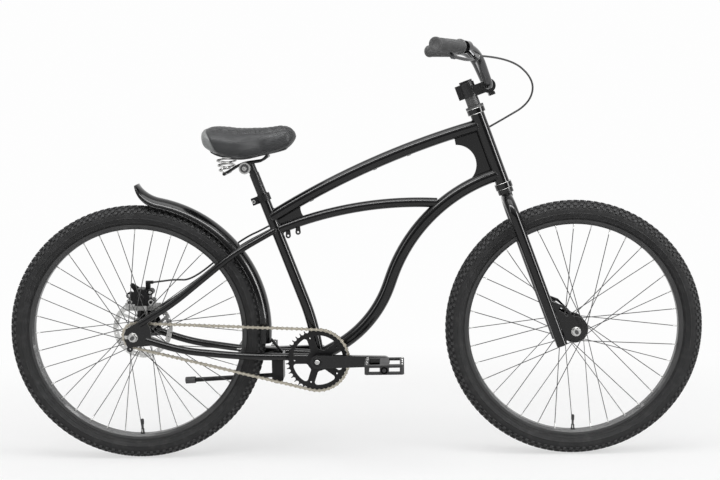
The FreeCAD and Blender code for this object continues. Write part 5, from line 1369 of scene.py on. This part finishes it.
@dataclass
class Guard:
    """The rear fender: an arched steel skin over the tyre with a lifted tail and rolled edges."""

    middle: Point = (-0.578, 0.0, 0.343)
    radius: float = 0.357
    angles: Span = (-6.0, 78.0)
    rows: int = 110
    tail_radius: float = 0.09
    tail_angle: float = 44.0
    tail_rows: int = 36
    half_width: float = 0.0312
    tail_narrowing: float = 0.002
    arch_swing: float = 82.0
    arch_depth: float = 0.0245
    tail_shallowing: float = 0.0195
    shallowing_power: float = 2.2
    narrowing_power: int = 3
    wall: float = 0.0015
    bead: float = 0.0016
    peg_radius: float = 0.0035
    pegs: tuple[tuple[Point, Point], ...] = (
        ((-0.2622, 0.0, 0.5752), (-0.2905, 0.0, 0.5532)),
        ((-0.1945, 0.0, 0.2776), (-0.2235, 0.0, 0.3146)),
    )

    def ridge(self) -> tuple[Array, Array, Array]:
        """The fender's middle line: an arc about the wheel, then one about the tail's own centre.

        Returns:
            Places, outward ways and shares of the tail from nought to one.
        """
        low, high = np.radians(self.angles)
        out = side_ways(np.linspace(low, high, self.rows))
        middle = np.array(self.middle)
        heart = middle + (self.radius + self.tail_radius) * out[-1]
        tail = np.linspace(0, 1, self.tail_rows)[1:]
        into = side_ways(high + math.pi - tail * math.radians(self.tail_angle))
        places = np.concatenate([middle + self.radius * out, heart + self.tail_radius * into])
        return places, np.concatenate([out, -into]), np.concatenate([np.zeros(self.rows), tail])

    def section(self, share: Array, lower: float) -> tuple[Array, Array]:
        """Sideways place and drop of points across the arch, shallower towards the tail's tip.

        Args:
            share: Share of the tail at each row.
            lower: How far the surface is set in.

        Returns:
            Two grids of metres.
        """
        most = math.radians(self.arch_swing)
        swing = np.linspace(-most, most, 25)
        depth = (self.arch_depth - self.tail_shallowing * share**self.shallowing_power)[:, None]
        wide = (self.half_width - self.tail_narrowing * share**self.narrowing_power)[:, None]
        side = (wide - lower) * np.sin(swing) / math.sin(most)
        return side, lower + depth * (1 - np.cos(swing)) / (1 - math.cos(most))

    def skin(self) -> tuple[Shape, list[Array]]:
        """Outer and inner arches joined at the edges, closed to nothing at both ends.

        Returns:
            Points and quads, and the two edge lines.
        """
        spine, out, share = self.ridge()
        sheets = []
        for lower in (0.0, self.wall):
            side, drop = self.section(share, lower)
            sheets.append(spine[:, None] - drop[..., None] * out[:, None] + side[..., None] * Y_WAY)
        outer, inner = sheets
        inner[[0, -1]] = outer[[0, -1]]
        points = np.concatenate([outer, inner[:, ::-1]], 1)
        faces = grid_quads(len(points), points.shape[1])
        return (points.reshape(-1, 3), faces), [outer[:, 0], outer[:, -1]]

    def build(self) -> None:
        """Makes the skin, its rolled edges and the pegs that hold it."""
        skin, edges = self.skin()
        tubes = [sweep(edge, self.bead, 8, Y_WAY) for edge in edges]
        pegs = [sweep(np.linspace(*np.array(peg), 6), self.peg_radius, 14, Y_WAY) for peg in self.pegs]
        piece = add_piece("fender_skin", joined([skin, *tubes, *pegs]), 50.0)
        settle(piece, GLOSS_BLACK, "frame", ["rear_fender"])


class Main(Enum):
    """A main tube of the frame that others are welded to: a point of its axis, its way and its radius."""

    HEAD = ((0.3878, 0.0, 0.7211), (-0.34202, 0.0, 0.93969), 0.0183)
    SEAT = ((-0.2379, 0.0, 0.6997), (0.347, 0.0, -0.93786), 0.0143)
    SHELL = ((-0.0981, 0.0, 0.2664), (0.0, 1.0, 0.0), 0.0205)


@dataclass
class Welds:
    """Rippled weld beads where the tubes meet, laid along the cut ends of the solids."""

    nodes: dict[str, bpy.types.Object]
    bead: float = 0.0019
    ripple: float = 0.14
    waves: int = 34
    steps: int = 204
    near: float = 0.00004
    bins: int = 48
    edge_share: float = 0.97
    seams: tuple[tuple[str, Main, int], ...] = (
        ("top_tube", Main.HEAD, 0), ("down_tube", Main.HEAD, 0), ("top_tube", Main.SEAT, 0),
        ("mid_tube", Main.SEAT, 0), ("seat_stays", Main.SEAT, -1), ("seat_stays", Main.SEAT, 1),
        ("down_tube", Main.SHELL, 0), ("seat_tube", Main.SHELL, 0), ("chain_stays", Main.SHELL, -1),
        ("chain_stays", Main.SHELL, 1),
    )

    def rim(self, name: str, main: Main, side: int) -> tuple[Array, Array]:
        """The edge of a tube's cut end: its outermost points on the main tube, in order round their middle.

        Args:
            name: The tube's solid node.
            main: The tube it meets.
            side: Nought for all of the node, or the sign of y for one of a pair.

        Returns:
            Points of the closed line, and the way out of the main tube.
        """
        spot, axis, radius = np.array(main.value[0]), np.array(main.value[1]), main.value[2]
        points = rows_of(self.nodes[name].data.vertices)
        points = points[points[:, 1] * side >= 0]
        away = points - spot
        flat = away - (away @ axis)[:, None] * axis
        touching = np.abs(np.linalg.norm(flat, axis=1) - radius) < self.near
        points, out = points[touching], unit(flat[touching].mean(0))
        middle = (points.min(0) + points.max(0)) / 2
        wide, long = (points - middle) @ np.cross(out, axis), (points - middle) @ axis
        turn, reach = np.arctan2(long, wide), np.hypot(long, wide)
        bins = ((turn + math.pi) / TAU * self.bins).astype(int) % self.bins
        most = np.zeros(self.bins)
        np.maximum.at(most, bins, reach)
        kept = reach > most[bins] * self.edge_share
        order = np.argsort(turn[kept])
        turn, edge = turn[kept][order], points[kept][order]
        at = np.linspace(-math.pi, math.pi, self.steps)
        return np.stack([np.interp(at, turn, column, period=TAU) for column in edge.T], -1), out

    def build(self) -> None:
        """Sweeps one bead along each rim."""
        swell = self.bead * (1 + self.ripple * np.sin(np.linspace(0, TAU * self.waves, self.steps)))
        beads = []
        for name, main, side in self.seams:
            path, out = self.rim(name, main, side)
            beads.append(sweep(path, swell, 8, out))
        settle(add_piece("weld_beads", joined(beads), 70.0), GLOSS_BLACK, "frame")


@dataclass
class Fasteners:
    """Bolts, washers and rings that finish the joints between the solids."""

    sunk: float = 0.0005
    head_shares: Profile = ((0.8, 1), (1, 0.86), (1, 0.5), (0.35, 0.46), (0.35, 0))
    ease_share: float = 0.3
    crank: Point = (-0.0981, 0.072, 0.2664)
    rotor_circle: float = 0.0213
    rotor_face: float = 0.0527
    ear_x: Span = (-0.6045, -0.5475)
    ear_z: float = 0.4095
    ear_faces: Span = (0.043, 0.082)
    barrel_face: float = 0.046
    adapter_x: Span = (-0.612, -0.533)
    adapter_at: Span = (0.0675, 0.394)
    arm_pivot: Point = (-0.58, 0.09, 0.425)
    arm_pinch: Point = (-0.604, 0.087, 0.449)
    collar: Point = (-0.2585, 0.008, 0.6798)
    clamp: Point = (-0.278, 0.031, 0.768)
    steering_foot: Point = (0.532969, 0.0, 0.32243)
    steering_axis: Point = (-0.34202, 0.0, 0.93969)
    headset: Profile = ((0.4086, 0.0223), (0.4238, 0.0226), (0.6158, 0.0236), (0.6296, 0.0236))
    ring_half: float = 0.0006
    ring_depth: float = 0.001
    ring_crest: float = 0.0005
    pedal_x: Span = (0.0769, -0.2731)
    pedal_y: float = 0.172
    pedal_cap: Span = (0.0105, 0.004)
    stud: Span = (0.0022, 0.0028)
    stud_x: float = 0.0445
    stud_rows: tuple[float, ...] = (0.012, 0.036, 0.06, 0.084)
    stud_z: float = 0.012

    def bolt(self, radius: float, height: float) -> Shape:
        """A round head with a sunk socket, standing up along z.

        Args:
            radius: The head's radius.
            height: How far it stands out.

        Returns:
            Points and quads.
        """
        head = [(height * tall, radius * wide) for tall, wide in self.head_shares]
        return lathe([(-self.sunk, 0), (-self.sunk, radius), *head], around=20)

    def washer(self, outer: float, inner: float, height: float) -> Shape:
        """A flat ring with eased edges, standing up along z.

        Args:
            outer: Its outer radius.
            inner: Its inner radius.
            height: How far it stands out.

        Returns:
            Points and quads.
        """
        ease = height * self.ease_share
        row = [(-self.sunk, inner), (-self.sunk, outer), (height - ease, outer), (height, outer - ease)]
        row += [(height, inner + ease), (height - ease, inner), (-self.sunk, inner)]
        return lathe(row, around=28)

    @staticmethod
    def pair(at: Point) -> list[Spot]:
        """One place on both sides of the bicycle, each facing outward."""
        x, y, z = at
        return [((x, side * y, z), (0, side, 0)) for side in (-1, 1)]

    @staticmethod
    def facing(way: Point, y: float, spots: Iterable[Span]) -> list[Spot]:
        """Places in the side view, all at one y and facing one way."""
        return [((x, y, z), way) for x, z in spots]

    @staticmethod
    def put(name: str, shape: Shape, spots: Sequence[Spot], finish: Finish, body: str) -> None:
        """Stamps one shape at each place, its z along the given way."""
        places, ways = np.array(spots, float).transpose(1, 0, 2)
        settle(add_piece(name, stamp(shape, places, turned_to(ways, X_WAY)), 40.0), finish, body)

    def rings(self) -> Shape:
        """Thin bright rings at the edges of the headset cups, square to the steering axis.

        Returns:
            Points and quads.
        """
        loops = []
        for station, radius in self.headset:
            low, high, inner = station - self.ring_half, station + self.ring_half, radius - self.ring_depth
            row = [(low, inner), (low, radius), (station, radius + self.ring_crest), (high, radius)]
            row += [(high, inner), (low, inner)]
            loops.append(lathe(row, np.array(self.steering_foot), np.array(self.steering_axis), 64))
        return joined(loops)

    def pedal(self, body: str, x: float, side: int) -> None:
        """The end cap and the studs of one pedal.

        Args:
            body: The pedal's body.
            x: Where its axle is along the bicycle.
            side: One for the rider's left, minus one for the right.
        """
        y, z = side * self.pedal_y, self.crank[2]
        cap = [((x, y, z), (0, side, 0))]
        self.put(body + "_cap", self.bolt(*self.pedal_cap), cap, BLACK_PLASTIC, body)
        studs = [
            ((x + dx, y - side * dy, z + up * self.stud_z), (0, 0, up))
            for dx in (-self.stud_x, self.stud_x) for dy in self.stud_rows for up in (-1, 1)
        ]
        self.put(body + "_studs", self.bolt(*self.stud), studs, BRIGHT_STEEL, body)

    def build(self) -> None:
        """Makes every set of fasteners."""
        bolt, washer, facing = self.bolt, self.washer, self.facing
        crank, collar, clamp = (self.pair(at) for at in (self.crank, self.collar, self.clamp))
        turn = np.arange(6) * TAU / 6
        hub = side_ways(turn) * self.rotor_circle + np.array(DiscBrake.centre)
        disc = facing(LEFT, self.rotor_face, hub[:, ::2])
        ears = [
            spot
            for way, y in zip((RIGHT, LEFT), self.ear_faces)
            for spot in facing(way, y, [(x, self.ear_z) for x in self.ear_x])
        ]
        barrels = facing(RIGHT, self.barrel_face, DiscBrake.barrel_spots)
        y, z = self.adapter_at
        adapter = facing(LEFT, y, [(x, z) for x in self.adapter_x])
        pivot, pinch = [(self.arm_pivot, LEFT)], [(self.arm_pinch, LEFT)]
        for row in (
            ("crank_bolts", bolt(0.0062, 0.004), crank, BRIGHT_STEEL, "crankset"),
            ("crank_caps", washer(0.0125, 0.0074, 0.0022), crank, SATIN_BLACK, "crankset"),
            ("rotor_bolts", bolt(0.0034, 0.0018), disc, SATIN_BLACK, "rear_wheel"),
            ("ear_washers", washer(0.0068, 0.003, 0.0012), ears, BRIGHT_STEEL, "frame"),
            ("ear_bolts", bolt(0.0045, 0.005), ears, SATIN_BLACK, "frame"),
            ("barrel_bolts", bolt(0.0042, 0.0032), barrels, BRIGHT_STEEL, "frame"),
            ("adapter_bolts", bolt(0.0045, 0.004), adapter, BRIGHT_STEEL, "frame"),
            ("arm_pivot_bolt", bolt(0.0058, 0.0035), pivot, BRIGHT_STEEL, "frame"),
            ("arm_pinch_bolt", bolt(0.0042, 0.004), pinch, BRIGHT_STEEL, "caliper_arm"),
            ("collar_bolt_heads", bolt(0.0052, 0.0062), collar, BRIGHT_STEEL, "frame"),
            ("clamp_washers", washer(0.0112, 0.0066, 0.0018), clamp, DARK_CHROME, "seat_post"),
            ("clamp_nuts", bolt(0.0062, 0.006), clamp, BRIGHT_STEEL, "seat_post"),
        ):
            self.put(*row)
        settle(add_piece("headset_rings", self.rings(), 40.0), BRIGHT_STEEL, "frame")
        for body, x, side in zip(("pedal_right", "pedal_left"), self.pedal_x, (-1, 1)):
            self.pedal(body, x, side)


# The studio, and the solids that stay in view


@dataclass(frozen=True)
class Lamp:
    """A soft box, or a strip that only shows as a highlight."""

    name: str
    spot: Point
    aim: Point
    size: Span
    power: float
    gloss_only: bool = False

    def build(self) -> None:
        """Hangs the lamp and turns it to face its aim."""
        data = bpy.data.lights.new(self.name, "AREA")
        data.shape = "RECTANGLE"
        data.size, data.size_y = self.size
        data.energy = self.power
        lamp = linked(self.name, data)
        lamp.location = self.spot
        lamp.rotation_euler = (Vector(self.aim) - Vector(self.spot)).to_track_quat("-Z", "Y").to_euler()
        lamp.visible_diffuse = not self.gloss_only


@dataclass
class Studio:
    """A pale floor and backdrop, soft lamps and the camera of the photograph."""

    spot: Point = (0.1282, -3.2482, 0.9718)
    yaw: float = -0.73
    pitch: float = 7.15
    roll: float = 0.77
    lens: float = 62.6
    sensor: float = 36.0
    shift: Span = (-0.038, 0.0053)
    paper: Colour = (0.985, 0.985, 0.985)
    paper_tones: tuple[Colour, Colour] = ((0.84, 0.84, 0.84), (0.82, 0.82, 0.82))
    paper_roughness: float = 0.85
    near_glow: float = 0.62
    glow_stretch: Point = (1.0, 1.6, 1.0)
    glow_span: Span = (0.9, 2.3)
    floor_half: float = 40.0
    backdrop_y: float = 9.0
    sky_above: Span = (0.05, 0.75)
    sky_behind: Span = (-0.35, 0.6)
    above_level: float = 0.75
    behind_level: float = 0.8
    least_level: float = 0.1
    lamps: tuple[Lamp, ...] = (
        Lamp("overhead_box", (0.0, -0.6, 3.2), (0.0, 0.0, 0.5), (3.4, 1.4), 52.0),
        Lamp("left_box", (-3.4, -2.4, 1.7), (-0.2, 0.0, 0.5), (0.9, 2.2), 26.0),
        Lamp("right_box", (3.2, -1.4, 2.2), (0.2, 0.0, 0.6), (0.9, 2.0), 22.0),
        Lamp("top_strip", (0.0, -2.2, 3.4), (0.0, 0.0, 0.5), (5.0, 0.5), 130.0, True),
        Lamp("right_strip", (3.6, -1.6, 1.2), (0.2, 0.0, 0.6), (0.6, 2.6), 90.0, True),
    )

    def camera(self) -> None:
        """Sets the camera: forward from yaw and pitch, then turned by the roll."""
        yaw, pitch, roll = (math.radians(a) for a in (self.yaw, self.pitch, self.roll))
        level = np.array([math.sin(yaw), math.cos(yaw), 0.0])
        ahead = level * math.cos(pitch) - Z_WAY * math.sin(pitch)
        right = np.array([math.cos(yaw), -math.sin(yaw), 0.0])
        down = np.cross(ahead, right)
        beside = math.cos(roll) * right + math.sin(roll) * down
        below = -math.sin(roll) * right + math.cos(roll) * down
        lens = bpy.data.cameras.new("photo_camera")
        lens.lens = self.lens
        lens.sensor_width = self.sensor
        lens.shift_x, lens.shift_y = self.shift
        lens.clip_end = 5 * self.floor_half
        camera = linked("photo_camera", lens)
        columns = np.stack([beside, -below, -ahead, np.array(self.spot)], -1)
        camera.matrix_world = Matrix([*columns.tolist(), [0, 0, 0, 1]])
        bpy.context.scene.camera = camera

    def paper_stock(self) -> bpy.types.Material:
        """Paper that glows white to the camera and in gloss, and keeps a soft shadow near the wheels.

        Returns:
            The material.
        """
        bench = Paint("studio_paper")
        bench.feed("Base Color", bench.mixed(bench.noise(3.0, 2.0), *self.paper_tones))
        bench.feed("Roughness", self.paper_roughness)
        glow = bench.wire("ShaderNodeEmission", {}, {"Color": shade(self.paper), "Strength": 1.0})
        spot = bench.place(self.glow_stretch)
        apart = bench.wire("ShaderNodeVectorMath", {"operation": "LENGTH"}, {0: spot}, 1)
        share = apart.between(*self.glow_span) * (1 - self.near_glow) + self.near_glow
        seen = bench.shown(("Camera", "Glossy", "Transmission")) * share
        lit = Wire(bench, bench.shader.outputs[0])
        both = bench.wire("ShaderNodeMixShader", {}, {0: seen, 1: lit, 2: glow})
        bench.give(bench.surface.inputs["Surface"], both)
        return bench.material

    def floor(self) -> None:
        """A wide pale floor and a backdrop well behind the wheels."""
        half, back = self.floor_half, self.backdrop_y
        ground = [(-half, -half, 0), (half, -half, 0), (half, half, 0), (-half, half, 0)]
        wall = [(-half, back, 0), (half, back, 0), (half, back, half), (-half, back, half)]
        stock = self.paper_stock()
        for name, corners in (("studio_floor", ground), ("studio_backdrop", wall)):
            sheet = add_piece(name, (np.array(corners, float), np.array([[0, 1, 2, 3]])))
            sheet.data.materials.append(stock)

    def world(self) -> None:
        """Light from above and behind, dim from the camera's side, and paper white where it shows."""
        world = bpy.data.worlds.new("studio_world")
        world.use_nodes = True
        bench = Bench(world.node_tree)
        way = bench.wire("ShaderNodeTexCoord", {}, {}, "Generated")
        parts = bench.node("ShaderNodeSeparateXYZ", {}, {0: way})
        above = Wire(bench, parts.outputs["Z"]).between(*self.sky_above) * self.above_level
        behind = Wire(bench, parts.outputs["Y"]).between(*self.sky_behind) * self.behind_level
        level = above.maths("MAXIMUM", above, behind) + self.least_level
        lit = bench.wire("ShaderNodeBackground", {}, {"Color": (1, 1, 1, 1), "Strength": level})
        shown = bench.wire("ShaderNodeBackground", {}, {"Color": shade(self.paper), "Strength": 1.0})
        seen = bench.shown(("Camera", "Transmission"))
        both = bench.wire("ShaderNodeMixShader", {}, {0: seen, 1: lit, 2: shown})
        bench.node("ShaderNodeOutputWorld", {}, {"Surface": both})
        bpy.context.scene.world = world

    def build(self) -> None:
        """Sets up the whole studio."""
        self.camera()
        self.floor()
        self.world()
        for lamp in self.lamps:
            lamp.build()
        bpy.context.scene.view_settings.view_transform = "Standard"


@dataclass
class Carried:
    """The solid nodes that stay in view, each in the finish of its slot, rounded edges shaded smooth."""

    frame: dict[str, Any]
    sharp_over: float = 32.0
    bevel_over: float = 40.0
    eased: dict[str, float] = field(
        default_factory=lambda: {
            "crank_arms": 0.0016, "stem_body": 0.001, "stem_faceplate": 0.001, "rear_dropouts": 0.0008,
            "frame_gussets": 0.0006, "kickstand_bracket": 0.0012, "caliper_body": 0.001,
            "seat_collar": 0.0007,
        }
    )

    def smoothing(self) -> bpy.types.NodeTree:
        """A geometry group that joins loose triangles and shades smooth all but the sharp edges.

        Returns:
            The node group.
        """
        group = bpy.data.node_groups.new("smooth_edges", "GeometryNodeTree")
        for way in ("INPUT", "OUTPUT"):
            group.interface.new_socket("Geometry", in_out=way, socket_type="NodeSocketGeometry")
        bench = Bench(group)
        loose = bench.wire("NodeGroupInput", {}, {})
        whole = bench.wire("GeometryNodeMergeByDistance", {}, {"Geometry": loose, "Distance": MERGE})
        round_all = bench.wire("GeometryNodeSetShadeSmooth", {"domain": "FACE"}, {"Geometry": whole})
        bend = bench.wire("GeometryNodeInputMeshEdgeAngle", {}, {})
        limits = {0: bend, 1: math.radians(self.sharp_over)}
        soft = bench.wire("FunctionNodeCompare", {"operation": "LESS_THAN"}, limits)
        sockets = {"Geometry": round_all, "Shade Smooth": soft}
        edges = bench.wire("GeometryNodeSetShadeSmooth", {"domain": "EDGE"}, sockets)
        bench.node("NodeGroupOutput", {}, {"Geometry": edges})
        return group

    def build(self) -> None:
        """Dresses every solid node, smooths its shading and eases the edges of the blocky ones."""
        slots = {row["node"]: row["material_slot"] for row in self.frame["record"]["subparts"]}
        group = self.smoothing()
        for name, node in self.frame["nodes"].items():
            dress(node, OWN_FINISHES.get(name, SLOT_FINISHES[slots[name]]))
            node.modifiers.new("smooth_edges", "NODES").node_group = group
            if name in self.eased:
                bevel = node.modifiers.new("eased", "BEVEL")
                bevel.width = self.eased[name]
                bevel.segments = 2
                bevel.angle_limit = math.radians(self.bevel_over)
                bevel.harden_normals = True


def main() -> None:
    """Loads the solids and builds every class in order."""
    logging.basicConfig(level=logging.INFO, format="%(message)s")
    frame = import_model()
    front, rear = (0.573, 0.0, 0.337), (-0.573, 0.0, 0.337)
    for piece in (
        Studio(),
        Carried(frame),
        Wheel("front", front, flange_out=0.032, flange_in=0.0249, spoke_circle=0.031),
        Wheel("rear", rear, flange_out=0.034, flange_in=0.0269, spoke_circle=0.026),
        Saddle(),
        Cockpit(),
        Drivetrain(),
        DiscBrake(),
        Guard(),
        Welds(frame["nodes"]),
        Fasteners(),
    ):
        piece.build()
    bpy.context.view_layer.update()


if __name__ == "__main__":
    main()
